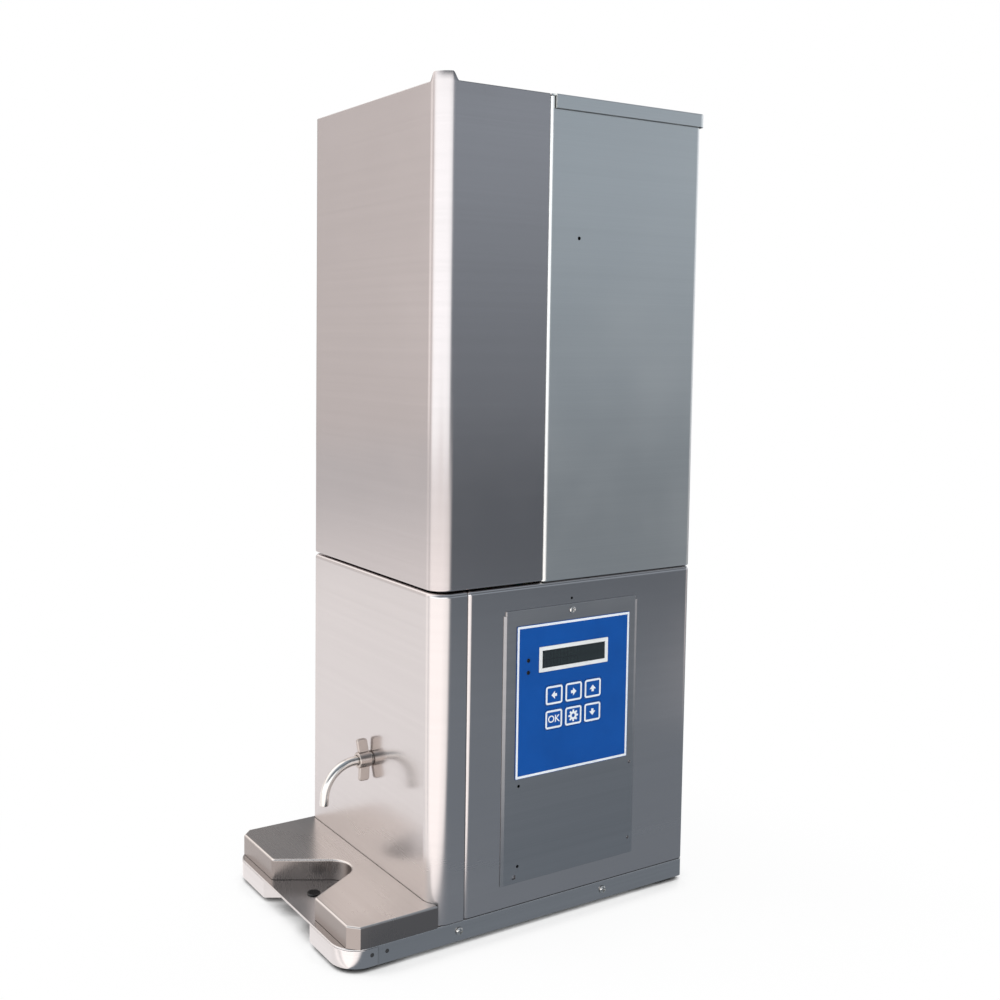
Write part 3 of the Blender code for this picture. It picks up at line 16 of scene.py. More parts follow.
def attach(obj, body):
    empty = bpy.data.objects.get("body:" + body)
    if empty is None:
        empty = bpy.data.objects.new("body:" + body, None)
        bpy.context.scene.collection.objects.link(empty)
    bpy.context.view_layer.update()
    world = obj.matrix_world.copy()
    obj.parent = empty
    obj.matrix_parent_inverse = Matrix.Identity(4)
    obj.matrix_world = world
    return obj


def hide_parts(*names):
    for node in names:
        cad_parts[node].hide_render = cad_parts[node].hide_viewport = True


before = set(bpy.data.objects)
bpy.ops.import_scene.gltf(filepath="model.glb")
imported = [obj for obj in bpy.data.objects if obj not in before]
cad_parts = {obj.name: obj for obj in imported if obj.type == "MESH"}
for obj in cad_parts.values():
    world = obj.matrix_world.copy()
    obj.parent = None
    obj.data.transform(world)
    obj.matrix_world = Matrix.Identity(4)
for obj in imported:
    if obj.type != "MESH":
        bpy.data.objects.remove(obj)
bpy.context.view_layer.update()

MM = 0.001
scene = bpy.context.scene

# Sizes that the CAD model has too
FRONT = -94.25 * MM
BACK = 169.75 * MM
SIDE = 105.85 * MM
FLOOR = 4.0 * MM
SHEET_TOP = 19.6 * MM
SEAM = 285.0 * MM
TOP = 676.0 * MM
HOOD_LOW = 286.5 * MM
HOOD_BACK = 7.25 * MM
SPLIT = -64.75 * MM
BASE_FRONT = -172.25 * MM
SHEET = 1.2 * MM
GAP = 0.3 * MM
SLIP = 0.4 * MM
FLANGE = 12.0 * MM
CORNER_R = 15.0 * MM
EDGE_R = 4.2 * MM
REAR_R = 5.0 * MM
TOP_BEND_R = 3.8 * MM
SPOUT_AXIS = 126.0 * MM
LINE_X = 3.0 * MM
OUTLET = -27.25 * MM
REST_X = 70.0 * MM
REST_Y = FRONT + 7.2 * MM
OVER = 6.0 * MM
WELD = 0.002 * MM
BASE_R = 22.0 * MM

# Boxes on the right side in mm: from and to behind the front, then from and to above the base's foot
WINDOW = (73, 194, 44, 248.3)
PLATE = (64, 203, 35, 261)
FILM_SHEET = (76.4, 193.7, 122, 248)
BEZEL = (98.7, 170.5, 207.5, 228.5)
BEZEL_HOLE = (98.5, 170.7, 207.3, 228.7)
PANE_HOLE = (101.6, 167.6, 210.4, 225.6)
SQUARE_HOLE = (75.1, 78.7, 38.7, 42.3)
LED_Y, LED_Z = 88, (209, 219)
SCREW_Y, SCREW_Z = 132.5, 255.8

# The lower body is wiped often up to the first height, and as brushed from the second on
SPLASHED = (40 * MM, 110 * MM)

# The back's openings
INLET = (48.1 * MM, 75.9 * MM, FLOOR + 29.1 * MM, FLOOR + 80.9 * MM)
VENTS, VENT_PITCH, VENT_W = 7, 9.0 * MM, 3.0 * MM

# How far the wing nut leans from upright
NUT_LEAN = radians(8)

# Directions of a piece's own Z axis, as rotations from world axes
UPRIGHT = Matrix.Identity(4)
RIGHT = Matrix(((0, 0, 1, 0), (1, 0, 0, 0), (0, 1, 0, 0), (0, 0, 0, 1)))
LEFT = RIGHT @ Matrix.Rotation(pi, 4, "X")
FORWARD = Matrix(((1, 0, 0, 0), (0, 0, -1, 0), (0, 1, 0, 0), (0, 0, 0, 1)))


def side_box(box):
    """A box on the right side in metres, for oblong."""
    y0, y1, z0, z1 = box
    return FRONT + y0 * MM, FRONT + y1 * MM, FLOOR + z0 * MM, FLOOR + z1 * MM


def side_place(y, z, x=SIDE):
    """A place on the right side, from mm behind the front and above the base's foot."""
    return x, FRONT + y * MM, FLOOR + z * MM


# Shapes

def placed(name, data):
    """A new object for a mesh, a lamp or the camera."""
    made = bpy.data.objects.new(name, data)
    scene.collection.objects.link(made)
    return made


def moved(made, turn):
    """Moves a piece's mesh, so that the object itself stays at the origin."""
    made.data.transform(turn)
    made.data.update()
    return made


def finished(mesh, crease=35):
    """Merges doubles, drops flat slivers, turns faces outwards and smooths all but the real edges."""
    shape = bmesh.new()
    shape.from_mesh(mesh)
    bmesh.ops.remove_doubles(shape, verts=shape.verts, dist=WELD)
    bmesh.ops.dissolve_degenerate(shape, edges=shape.edges, dist=WELD)
    bmesh.ops.recalc_face_normals(shape, faces=shape.faces)
    shape.to_mesh(mesh)
    shape.free()
    mesh.shade_smooth()
    mesh.set_sharp_from_angle(angle=radians(crease))


def surface(name, rows, round_rows=False, round_columns=True, caps="", crease=35):
    """A grid of points as quads: rows and columns may close on themselves, and ends may be capped.

    rows is an array (n, m, 3). caps holds r to cap the first and last row, c the first and last column.
    """
    n, m = rows.shape[:2]
    grid = np.arange(n * m).reshape(n, m)
    ends = {"r": (grid[0, ::-1], grid[-1]), "c": (grid[:, 0], grid[::-1, -1])}
    if round_columns:
        grid = np.concatenate([grid, grid[:, :1]], axis=1)
    if round_rows:
        grid = np.concatenate([grid, grid[:1]], axis=0)
    quads = np.stack([grid[:-1, :-1], grid[:-1, 1:], grid[1:, 1:], grid[1:, :-1]], axis=-1)
    faces = quads.reshape(-1, 4).tolist() + [end.tolist() for kind in caps for end in ends[kind]]
    mesh = bpy.data.meshes.new(name)
    mesh.from_pydata(rows.reshape(-1, 3).tolist(), [], faces)
    finished(mesh, crease)
    return placed(name, mesh)


def ring(corners, inset=0.0, steps=8, closed=True, ease=0.5 * MM):
    """The rounded outline through (x, y, radius) corners, moved in by inset, as an array (m, 2).

    Each corner moves along its mitre, the sum of its two edges' inward normals over one plus their dot
    product, and its radius shrinks or grows by the inset. A corner gives one point on the straight
    before it, steps + 1 points on its arc and one point on the straight after it, so that every inset
    has the same count and the flats stay flat under smooth shading.
    """
    corner = np.array(corners, float)
    spot, radius = corner[:, :2], corner[:, 2]
    ahead = np.roll(spot, -1, 0) - spot
    ahead /= np.linalg.norm(ahead, axis=1, keepdims=True)
    before = np.roll(ahead, 1, 0)
    if not closed:
        before[0] = ahead[0]
        ahead[-1] = before[-1]
    inward = np.stack([-before[:, 1], before[:, 0]], 1)
    onward = np.stack([-ahead[:, 1], ahead[:, 0]], 1)
    mitre = (inward + onward) / (1 + (inward * onward).sum(1, keepdims=True))
    spot = spot + mitre * inset
    cross = before[:, 0] * ahead[:, 1] - before[:, 1] * ahead[:, 0]
    turn = np.arctan2(cross, (before * ahead).sum(1))
    way = np.where(turn < 0, -1.0, 1.0)
    r = np.where(radius > 0, np.maximum(radius - inset * way, 0), 0)
    reach = r * np.tan(np.abs(turn) / 2)
    room = ((np.roll(spot, -1, 0) - spot) * ahead).sum(1) - reach - np.roll(reach, -1)
    if not closed:
        room[-1] = room[-2]
    room = np.maximum(room, 0)
    start = spot - before * reach[:, None]
    centre = start + inward * (r * way)[:, None]
    part = np.linspace(0, 1, steps + 1)
    angle = turn[:, None] * part
    arm = start - centre
    x = arm[:, :1] * np.cos(angle) - arm[:, 1:] * np.sin(angle)
    y = arm[:, :1] * np.sin(angle) + arm[:, 1:] * np.cos(angle)
    arc = np.stack([x, y], -1) + centre[:, None]
    first = arc[:, :1] - before[:, None] * np.minimum(ease, 0.4 * np.roll(room, 1))[:, None, None]
    last = arc[:, -1:] + ahead[:, None] * np.minimum(ease, 0.4 * room)[:, None, None]
    if not closed:
        first[0] = arc[0, :1]
        last[-1] = arc[-1, -1:]
    return np.concatenate([first, arc, last], axis=1).reshape(-1, 2)


def carried(corners, path, steps=8, closed=True):
    """Rows of 3-D points: for each (inset, height) of the path, the outline moved in, at that height."""
    rows = []
    for inset, height in path:
        loop = ring(corners, inset, steps, closed)
        rows.append(np.column_stack([loop, np.full(len(loop), height)]))
    return np.stack(rows)


def folded_sheet(name, corners, section, closed=True, steps=8, bend=6):
    """Sheet bent to a plan outline: a closed section of (inset, height, radius) carried round it."""
    rows = carried(corners, ring(section, steps=bend, ease=0.3 * MM), steps, closed)
    return surface(name, rows, True, closed, "" if closed else "c")


def block(name, corners, profile, steps=8, bend=5, axis=UPRIGHT):
    """A solid on a plan outline: an open profile of (inset, height, radius), flat at both ends.

    One more ring a little inside each end keeps the flat face's shading flat.
    """
    path = ring(profile, steps=bend, closed=False, ease=0.3 * MM)
    inner = (0.3 * MM, 0)
    path = np.concatenate([path[:1] + inner, path, path[-1:] + inner])
    return moved(surface(name, carried(corners, path, steps), caps="r"), axis)


def oblong(x0, x1, y0, y1, near=0.0, far=None):
    """Corners of a rectangle, with one radius at its y0 side and another at its y1 side."""
    far = near if far is None else far
    return [(x0, y0, near), (x1, y0, near), (x1, y1, far), (x0, y1, far)]


def prism(name, corners, low, high, axis=UPRIGHT, steps=8):
    """A plain solid on a plan outline, for a cut."""
    return moved(surface(name, carried(corners, [(0, low), (0, high)], steps), caps="r"), axis)


def opening(corners, face, axis, steps=1):
    """A cutter through the sheet whose face lies that far along the axis."""
    return prism("opening", corners, face - OVER, face + OVER, axis, steps)


def turned(name, profile, place, axis=UPRIGHT, around=64, hollow=False):
    """A turned piece: (radius, height) points about its own Z axis, which axis and place then set."""
    path = np.array(profile, float)
    t = np.linspace(0, tau, around, endpoint=False)
    x, y = path[:, :1] * np.cos(t), path[:, :1] * np.sin(t)
    z = np.repeat(path[:, 1:2], around, axis=1)
    return moved(surface(name, np.stack([x, y, z], -1), hollow), Matrix.Translation(place) @ axis)


def drill(radius, place, axis=UPRIGHT, around=32):
    """A round cutter that runs past its place both ways."""
    return turned("hole", [(0, -OVER), (radius, -OVER), (radius, OVER), (0, OVER)], place, axis, around)


def baked(made, crease=35):
    """The finished mesh of a piece with its modifiers, or of a text."""
    bpy.context.view_layer.update()
    mesh = bpy.data.meshes.new_from_object(made.evaluated_get(bpy.context.evaluated_depsgraph_get()))
    finished(mesh, crease)
    return mesh


def applied(made, crease=35):
    """Bakes the piece's modifiers into its mesh."""
    mesh = baked(made, crease)
    made.modifiers.clear()
    made.data = mesh
    return made


def combined(made, others, operation="DIFFERENCE", crease=35):
    """Cuts the others from the piece, or joins them to it, and removes them."""
    for other in others:
        step = made.modifiers.new(other.name, "BOOLEAN")
        step.operation = operation
        step.solver = "EXACT"
        step.object = other
    applied(made, crease)
    for other in others:
        bpy.data.objects.remove(other)
    return made


def eased(name, node, width):
    """A copy of a CAD node with its doubles merged and its real edges rounded."""
    made = placed(name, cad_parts[node].data.copy())
    shape = bmesh.new()
    shape.from_mesh(made.data)
    bmesh.ops.remove_doubles(shape, verts=shape.verts, dist=WELD)
    flat = radians(1)
    bmesh.ops.dissolve_limit(shape, angle_limit=flat, verts=shape.verts, edges=shape.edges)
    shape.to_mesh(made.data)
    shape.free()
    step = made.modifiers.new("edges", "BEVEL")
    step.width = width
    step.segments = 2
    step.limit_method = "ANGLE"
    step.angle_limit = radians(40)
    return applied(made)


# Materials

def srgb(code):
    """An sRGB hex colour as linear light, with full alpha."""
    part = np.array([int(code[i:i + 2], 16) / 255 for i in (0, 2, 4)])
    light = np.where(part <= 0.04045, part / 12.92, ((part + 0.055) / 1.055) ** 2.4)
    return (*light.tolist(), 1.0)


def add(tree, kind, links=(), **settings):
    """Adds a node: settings are its properties, links are (input, value or output socket) pairs."""
    node = tree.nodes.new(kind)
    for key, value in settings.items():
        setattr(node, key, value)
    for socket, value in links:
        if isinstance(value, bpy.types.NodeSocket):
            tree.links.new(value, node.inputs[socket])
        else:
            node.inputs[socket].default_value = value
    return node


def worked(operation, first, *more):
    """The output of a math node, from an output socket and more outputs or values."""
    links = enumerate((first, *more))
    return add(first.id_data, "ShaderNodeMath", links, operation=operation).outputs[0]


def axes(tree, kind="Object"):
    """The three parts of a texture coordinate."""
    where = add(tree, "ShaderNodeTexCoord")
    return add(tree, "ShaderNodeSeparateXYZ", [("Vector", where.outputs[kind])]).outputs


def base(name, colour, roughness, metallic=0.0, **sockets):
    """A Principled material with its constant values on the shader's own sockets."""
    made = bpy.data.materials.new(name)
    made.use_nodes = True
    shader = made.node_tree.nodes["Principled BSDF"]
    shader.inputs["Base Color"].default_value = srgb(colour)
    shader.inputs["Roughness"].default_value = roughness
    shader.inputs["Metallic"].default_value = metallic
    for socket, value in sockets.items():
        shader.inputs[socket.replace("_", " ")].default_value = value
    return made, made.node_tree, shader


def feed(shader, **sockets):
    """Links outputs to the shader's sockets."""
    for socket, output in sockets.items():
        shader.id_data.links.new(output, shader.inputs[socket.replace("_", " ")])


def cells(tree, size):
    """Object coordinates counted in cells of size mm, given once or for each axis."""
    where = add(tree, "ShaderNodeTexCoord")
    scale = (1 / (np.ones(3) * size * MM)).tolist()
    links = [("Vector", where.outputs["Object"]), ("Scale", scale)]
    return add(tree, "ShaderNodeMapping", links).outputs[0]


def noise(tree, size, detail=2.0, roughness=0.5):
    """Soft noise in blobs of about size mm, given once or for each axis."""
    links = [("Vector", cells(tree, size)), ("Scale", 1.0), ("Detail", detail), ("Roughness", roughness)]
    return add(tree, "ShaderNodeTexNoise", links).outputs[0]


def between(value, low, high, at=0.35, to=0.65):
    """Spreads the middle of a 0 to 1 pattern over low to high."""
    pairs = [("Value", value), ("From Min", at), ("From Max", to), ("To Min", low), ("To Max", high)]
    return add(value.id_data, "ShaderNodeMapRange", pairs).outputs[0]


def blended(share, first, second):
    """A colour between two, by a share: each is an output, an sRGB hex or linear red, green and blue."""
    links = [("Factor", share)]
    for socket, colour in ((6, first), (7, second)):
        if isinstance(colour, str):
            colour = srgb(colour)
        elif isinstance(colour, tuple):
            colour = (*colour, 1)
        links.append((socket, colour))
    return add(share.id_data, "ShaderNodeMix", links, data_type="RGBA").outputs[2]


def bump(height, strength, distance, *under):
    """A bumped normal, on top of another where one is given."""
    links = [("Height", height), ("Strength", strength), ("Distance", distance)]
    links += [("Normal", normal) for normal in under]
    return add(height.id_data, "ShaderNodeBump", links).outputs[0]


def brushed_stainless(name, tone, dull, grain="z", rough=0.26, wall=None, worn=False, dent=1.0):
    """304 stainless sheet, belt-brushed to a No. 4 finish: fine parallel scratches that smear a
    reflection across them, faint broad streaks, dull finger smudges and the slight waves of thin sheet.
    grain is the axis that the scratches are stacked along. wall, if given, is a darker tone for upright
    faces: painted shade beside the lit top. worn makes it rougher low down, where the spout's splashes
    are wiped off.
    """
    made, tree, shader = base(name, tone, rough, 1.0, Anisotropic=0.35)
    # Real scratches are 0.05 mm apart, too fine to show here, so they are drawn 0.6 mm apart
    fine, broad = [200, 200, 200], [667, 667, 667]
    axis = "xyz".index(grain)
    fine[axis], broad[axis] = 0.6, 7
    scratch = noise(tree, fine, 3.0, 0.6)
    streaks = worked("ADD", noise(tree, broad), scratch)
    colour = blended(between(streaks, 0, 1, 0.7, 1.3), tone, dull)
    # Painted shade: upright faces take the darker wall tone, blended in as the normal turns away from up
    if wall:
        colour = blended(between(axes(tree, "Normal")[2], 0, 1, 0.1, 0.5), wall, colour)
    stain = between(noise(tree, 70, 4.0, 0.55), 0.0, 0.05, 0.45, 0.75)
    total = worked("ADD", between(scratch, rough - 0.008, rough + 0.008), stain)
    if worn:
        total = worked("ADD", total, between(axes(tree)[2], 0.13, 0.0, *SPLASHED))
    sag = bump(noise(tree, 150, 1.0), 1.0, 0.9 * MM * dent, bump(scratch, 0.01, 0.02 * MM))
    around = add(tree, "ShaderNodeTangent", direction_type="RADIAL", axis="Z")
    feed(shader, Base_Color=colour, Roughness=total, Normal=sag, Tangent=around.outputs[0])
    return made


def fine_stainless(name, tone="D2CFCB", rough=0.16):
    """Stainless bar and tube, turned or drawn and then polished: near-mirror with hair-fine marks."""
    made, tree, shader = base(name, tone, rough, 1.0)
    cloud = between(noise(tree, 9, 3.0), rough - 0.03, rough + 0.05)
    feed(shader, Roughness=cloud, Normal=bump(noise(tree, 0.4), 0.12, 0.01 * MM))
    return made


def grained(name, colour, shade, roughness, grain, depth=0.03, **sockets):
    """Moulded plastic or rubber with a fine spark-eroded texture: a soft, slightly mottled surface."""
    made, tree, shader = base(name, colour, roughness, **sockets)
    pit, cloud = noise(tree, grain), noise(tree, 30, 3.0)
    feed(shader, Base_Color=blended(between(cloud, 0, 1), colour, shade),
         Roughness=between(pit, roughness - 0.05, roughness + 0.06),
         Normal=bump(pit, 0.3, depth * MM))
    return made


def plated_zinc(name):
    """Galvanised steel: flat crystal spangles of slightly different greys and roughness."""
    made, tree, shader = base(name, "A9ABAA", 0.42, 1.0)
    spangle = add(tree, "ShaderNodeTexVoronoi", [("Vector", cells(tree, 5)), ("Scale", 1.0)])
    grey = add(tree, "ShaderNodeSeparateColor", [("Color", spangle.outputs["Color"])]).outputs[0]
    feed(shader, Base_Color=blended(grey, "9C9F9E", "B6B8B6"),
         Roughness=between(grey, 0.36, 0.5, 0, 1))
    return made


def display_pane():
    """Glossy smoked acrylic over a character display: a near-black green with the faint grid of two
    rows of sixteen character cells, 3.55 by 6.55 mm apart.
    """
    made, tree, shader = base("smoked acrylic over a display", "1A2124", 0.14, Coat_Weight=0.2)
    place = axes(tree)
    line = []
    for axis, middle, pitch, share in ((1, 40.8, 3.55, 0.83), (2, 221.85, 6.55, 0.86)):
        at = worked("MULTIPLY_ADD", place[axis], 1 / (pitch * MM), -middle / pitch)
        line.append(worked("LESS_THAN", worked("FRACT", at), share))
    feed(shader, Base_Color=blended(worked("MULTIPLY", *line), "1B2225", "20282A"))
    return made


# Each sheet has its own brushing: the hood and the front give long satin reflections, the housing's are
# duller, the plate's are matt and grey, and the strip's are nearly a mirror's
STEEL_FRONT = brushed_stainless("brushed stainless, hood", "BDB7B6", "BAB4B3", rough=0.18)
STEEL_REAR = brushed_stainless("brushed stainless, housing", "D9DAD8", "D5D6D4", rough=0.29)
STEEL_LOWER = brushed_stainless("brushed stainless, lower body", "C8C3C2", "C5C0BF", rough=0.17,
                                worn=True)
STEEL_PLATE = brushed_stainless("brushed stainless, control plate", "B4B3B4", "ADACAD", rough=0.32)
STEEL_BASE = brushed_stainless("brushed stainless, base", "C8C5C4", "C0BDBC", rough=0.22, dent=0.3)
# The tray's walls get a darker tone than its top: painted shade
STEEL_TRAY = brushed_stainless("brushed stainless, tray", "CCC7C3", "C7C1BD", "y", rough=0.27,
                               wall="928A86")
STEEL_BAND = brushed_stainless("polished stainless strip", "D0CCCB", "CAC6C5", rough=0.13, dent=0.4)
BRIGHT = fine_stainless("polished stainless bar")
# A tumbled casting is warmer and duller than bar, with soft highlights on its edges
CAST = fine_stainless("cast stainless, tumbled", "B5ACA6", 0.3)
# Heat leaves a spot weld a dull, dark dot in the bright sheet
SPOT_WELD = fine_stainless("spot weld, tinted by heat", "6E6A68", 0.35)
ZINC = plated_zinc("galvanised steel")
BLACK = grained("black ABS", "1A1B1C", "151617", 0.5, 0.5)
RUBBER = grained("black nitrile rubber", "161616", "1E1D1C", 0.72, 0.8)
# The film is a deep, even blue with hardly any gloss, its prints a soft white and a little thicker
FILM = grained("blue polyester film, matt printed", "054E9F", "044A98", 0.38, 0.35, 0.008,
               Specular_IOR_Level=0.16)
INK = grained("white screen ink", "E9EEF3", "DFE6EC", 0.45, 0.4, 0.004)
FRAME_WHITE = grained("white ABS bezel", "E8EBEC", "DEE1E2", 0.4, 0.5, 0.01)
PANE = display_pane()
# Natural polyethylene is waxy and milky, and light goes a little way into it
MILKY = grained("natural polyethylene", "E9E5DA", "E5E1D6", 0.42, 0.7, 0.02, Subsurface_Weight=0.15,
                Subsurface_Scale=0.004)
SILICONE = grained("translucent silicone hose", "DDD3C2", "D3C8B5", 0.45, 0.8, 0.02)
BOARD = grained("solder-masked circuit board", "14502A", "0F4523", 0.4, 0.9, 0.01)
# Smooth black acrylic is nearly black, with one small sharp glint
LENS, _, _ = base("black acrylic lens", "0B0B0C", 0.12)
# Clear polycarbonate lets the rotor show through, under sharp highlights
CLEAR, _, _ = base("clear polycarbonate", "E8F0F2", 0.06, Transmission_Weight=0.9, IOR=1.58)


def dressed(piece, look, body, *nodes):
    """Gives a piece its material and body, and hides the CAD nodes that it stands for."""
    piece.data.materials.clear()
    piece.data.materials.append(look)
    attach(piece, body)
    if nodes:
        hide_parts(*nodes)


# Camera, light and floor

def photo_camera():
    """The camera that the photograph's edges give: 43.8 mm on a 36 mm frame, 58.33 degrees round,
    4.21 down and rolled by 0.614.
    """
    lens = bpy.data.cameras.new("camera")
    lens.sensor_width = 36
    lens.lens = 1215.5 / 1000 * 36
    lens.shift_x = 0.0663
    lens.shift_y = -0.072
    lens.clip_start = 0.05
    holder = placed("camera", lens)
    holder.matrix_world = Matrix.Translation((0.889, -0.58075, 0.482))
    for degrees, axis in ((58.33, "Z"), (90 - 4.21, "X"), (0.614, "Z")):
        holder.matrix_world @= Matrix.Rotation(radians(degrees), 4, axis)
    scene.camera = holder


def stops(share, table):
    """A ramp over a 0 to 1 value, from (place, level) or (place, red, green, blue) rows."""
    ramp = add(share.id_data, "ShaderNodeValToRGB", [("Fac", share)])
    elements = ramp.color_ramp.elements
    while len(elements) < len(table):
        elements.new(0.5)
    for element, (place, *colour) in zip(elements, table):
        element.position = place
        element.color = (*(colour * 3 if len(colour) == 1 else colour), 1)
    return ramp.outputs[0]


def by_bearing(x, y, table):
    """A ramp over the bearing atan2(x, -y) in degrees: nought in front, positive to the keypad side."""
    bearing = worked("ARCTAN2", x, worked("MULTIPLY", y, -1))
    share = between(bearing, 0, 1, -pi, pi)
    return stops(share, [((turn + 180) / 360, level) for turn, level in table])


BRIGHT_WALL = (2.0, 2.05, 2.1)
WARM_WALL = (2.1, 2.0, 1.96)
COOL = np.array([0.87, 1.0, 1.15])
WARM = np.array([1.08, 0.99, 0.97])
MATT_LIGHT = (0.62, 0.62, 0.62)
DIM_FLOOR_NEAR, DIM_FLOOR_FAR = tuple(COOL * 0.285), tuple(COOL * 0.2)


def room():
    """Room light by direction: bright walls round the front and right front, and a dim one elsewhere.

    The bright wall's share is one ramp over bearing up to 17 degrees above the eye and another from 21
    degrees on. The dim wall is a ramp over height, bluish, or warm and darker on the front left. Matt
    surfaces see one even level, and the camera sees white.
    """
    world = bpy.data.worlds.new("studio")
    scene.world = world
    world.use_nodes = True
    tree = world.node_tree
    x, y, z = axes(tree, "Generated")
    level = by_bearing(x, y, [(-180, 0.5), (-152, 0.1), (-122, 0), (-90, 0.14), (-66, 0.34), (-56, 0.37),
                              (-47, 0.75), (-41, 0.75), (-29, 0.3), (-16, 0.9), (-6, 1), (68, 1),
                              (90, 0.85), (97, 0.1), (104, 0), (140, 0.02), (152, 0.3), (180, 0.5)])
    above = by_bearing(x, y, [(-180, 0.1), (-122, 0), (-105, 0.1), (-85, 0.65), (-58, 0.9), (-20, 0.8),
                              (10, 0.4), (35, 0.04), (60, 0), (130, 0), (180, 0.1)])
    share = blended(between(z, 0, 1, 0.29, 0.36), level, above)
    low = [(-1, 0.27), (-0.3, 0.2), (-0.19, 0.2)]
    dim = [*low, (0, 0.32), (0.19, 0.52), (0.28, 0.36), (0.38, 0.14), (0.5, 0.2), (0.7, 0.36), (1, 0.6)]
    dim_in_front = [*low, (0, 0.3), (0.19, 0.28), (0.38, 0.09), (0.5, 0.2), (1, 0.6)]
    high = between(z, 0, 1, -1, 1)
    cool, warm = (stops(high, [((at + 1) / 2, *(tint * v)) for at, v in levels])
                  for tint, levels in ((COOL, dim), (WARM, dim_in_front)))
    warmth = by_bearing(x, y, [(-180, 0), (-140, 0), (-100, 1), (-30, 1), (-6, 0), (180, 0)])
    lit = blended(share, blended(warmth, cool, warm), blended(warmth, BRIGHT_WALL, WARM_WALL))
    path = add(tree, "ShaderNodeLightPath").outputs
    matt = blended(path["Is Diffuse Ray"], lit, MATT_LIGHT)
    seen = blended(path["Is Camera Ray"], matt, (1, 1, 1))
    tree.links.new(seen, tree.nodes["Background"].inputs["Color"])


def soft_box(name, place, target, size, power):
    """A square lamp that lights matt surfaces and doesn't show in the steel."""
    lamp = bpy.data.lights.new(name, "AREA")
    lamp.shape = "RECTANGLE"
    lamp.size, lamp.size_y = size
    lamp.energy = power
    holder = placed(name, lamp)
    away = Vector(target) - Vector(place)
    holder.matrix_world = Matrix.Translation(place) @ away.to_track_quat("-Z", "Y").to_matrix().to_4x4()
    holder.visible_glossy = False


def ground():
    """A pale floor: white where the camera sees it, but for the soft shadow at the dispenser's foot.

    The camera sees a mix of white and the lit floor. Its share of white falls where little sky is open
    within 30 mm, and grows a little with the distance from the dispenser's plan. A mirror-like surface
    sees the walls of the room carried down by the bearing from the base's right front corner. The
    bright share fades with distance, and behind the dispenser a patch of it starts further out.
    """
    rows = np.array([[(-4, -4, 0), (-4, 4, 0)], [(4, -4, 0), (4, 4, 0)]], float)
    floor = surface("floor", rows, False, False)
    made = bpy.data.materials.new("pale floor")
    made.use_nodes = True
    tree = made.node_tree
    tree.nodes.remove(tree.nodes["Principled BSDF"])
    path = add(tree, "ShaderNodeLightPath").outputs
    spot = add(tree, "ShaderNodeNewGeometry").outputs["Position"]
    x, y, _ = add(tree, "ShaderNodeSeparateXYZ", [("Vector", spot)]).outputs
    past = []
    for at, middle, half in ((x, 0.0, SIDE), (y, (BASE_FRONT + BACK) / 2, (BACK - BASE_FRONT) / 2)):
        off = worked("ABSOLUTE", worked("SUBTRACT", at, middle))
        past.append(worked("SUBTRACT", off, half))
    open_sky = add(tree, "ShaderNodeAmbientOcclusion", [("Distance", 30 * MM)], samples=8).outputs["AO"]
    close = between(open_sky, 0.0, 0.92, 0.3, 0.8)
    wide = between(worked("MAXIMUM", *past), 0.0, 0.08, 10 * MM, 240 * MM)
    share = worked("MULTIPLY", path["Is Camera Ray"], worked("ADD", close, wide))
    # Painted shadow: the lit floor's own colour darkens where little sky is open within 30 mm, on top of
    # the lamps' cast shadows
    matt = add(tree, "ShaderNodeBsdfDiffuse", [("Color", between(open_sky, 0.02, 0.9, 0.2, 0.6))])
    glow = add(tree, "ShaderNodeEmission", [("Color", (1, 1, 1, 1)), ("Strength", 1.0)])
    seen = add(tree, "ShaderNodeMixShader", [(0, share), (1, matt.outputs[0]), (2, glow.outputs[0])])
    corner = worked("SUBTRACT", x, SIDE), worked("SUBTRACT", y, BASE_FRONT)
    wall = by_bearing(*corner, [(-180, 0), (-140, 0), (-115, 0.53), (-56, 0.53), (-46, 0.72), (-40, 0.72),
                                (-29, 0.45), (-14, 0.85), (64, 0.85), (101, 0.7), (110, 0.35), (118, 0),
                                (180, 0)])
    behind = by_bearing(*corner, [(-180, 0), (146, 0), (156, 0.3), (172, 0.3), (180, 0)])
    away = add(tree, "ShaderNodeVectorMath", [(0, spot)], operation="LENGTH").outputs["Value"]
    near_share = worked("MULTIPLY", wall, between(away, 1, 0.68, 1.4, 2.8))
    far_share = worked("MULTIPLY", behind, between(away, 0, 1, 0.6, 1.1))
    dim = blended(between(away, 0, 1, 0.7, 1.7), DIM_FLOOR_NEAR, DIM_FLOOR_FAR)
    mirrored = blended(worked("ADD", near_share, far_share), dim, WARM_WALL)
    shine = add(tree, "ShaderNodeEmission", [("Color", mirrored)])
    sides = [(0, path["Is Glossy Ray"]), (1, seen.outputs[0]), (2, shine.outputs[0])]
    final = add(tree, "ShaderNodeMixShader", sides)
    tree.links.new(final.outputs[0], tree.nodes["Material Output"].inputs["Surface"])
    floor.data.materials.clear()
    floor.data.materials.append(made)


photo_camera()
room()
ground()
soft_box("key", (-0.9, -1.6, 1.9), (0, 0, 0.35), (1.6, 1.2), 26)
soft_box("fill", (2.1, -0.6, 1.5), (0, 0, 0.3), (1.8, 1.4), 20)
soft_box("rear", (-0.6, 2.2, 1.8), (0, 0, 0.35), (1.8, 1.4), 16)


# Body sheets

def front_plan(back):
    """A U in plan round the front, open at the back: a tight left bend and a wide right one."""
    return [(-SIDE, back, 0), (-SIDE, FRONT, EDGE_R), (SIDE, FRONT, CORNER_R), (SIDE, back, 0)]


def foot_flange(low, bend):
    """The part of a section that folds in at the foot."""
    return [(0, low, bend), (FLANGE, low, 0), (FLANGE, low + SHEET, 0), (SHEET, low + SHEET, 0)]


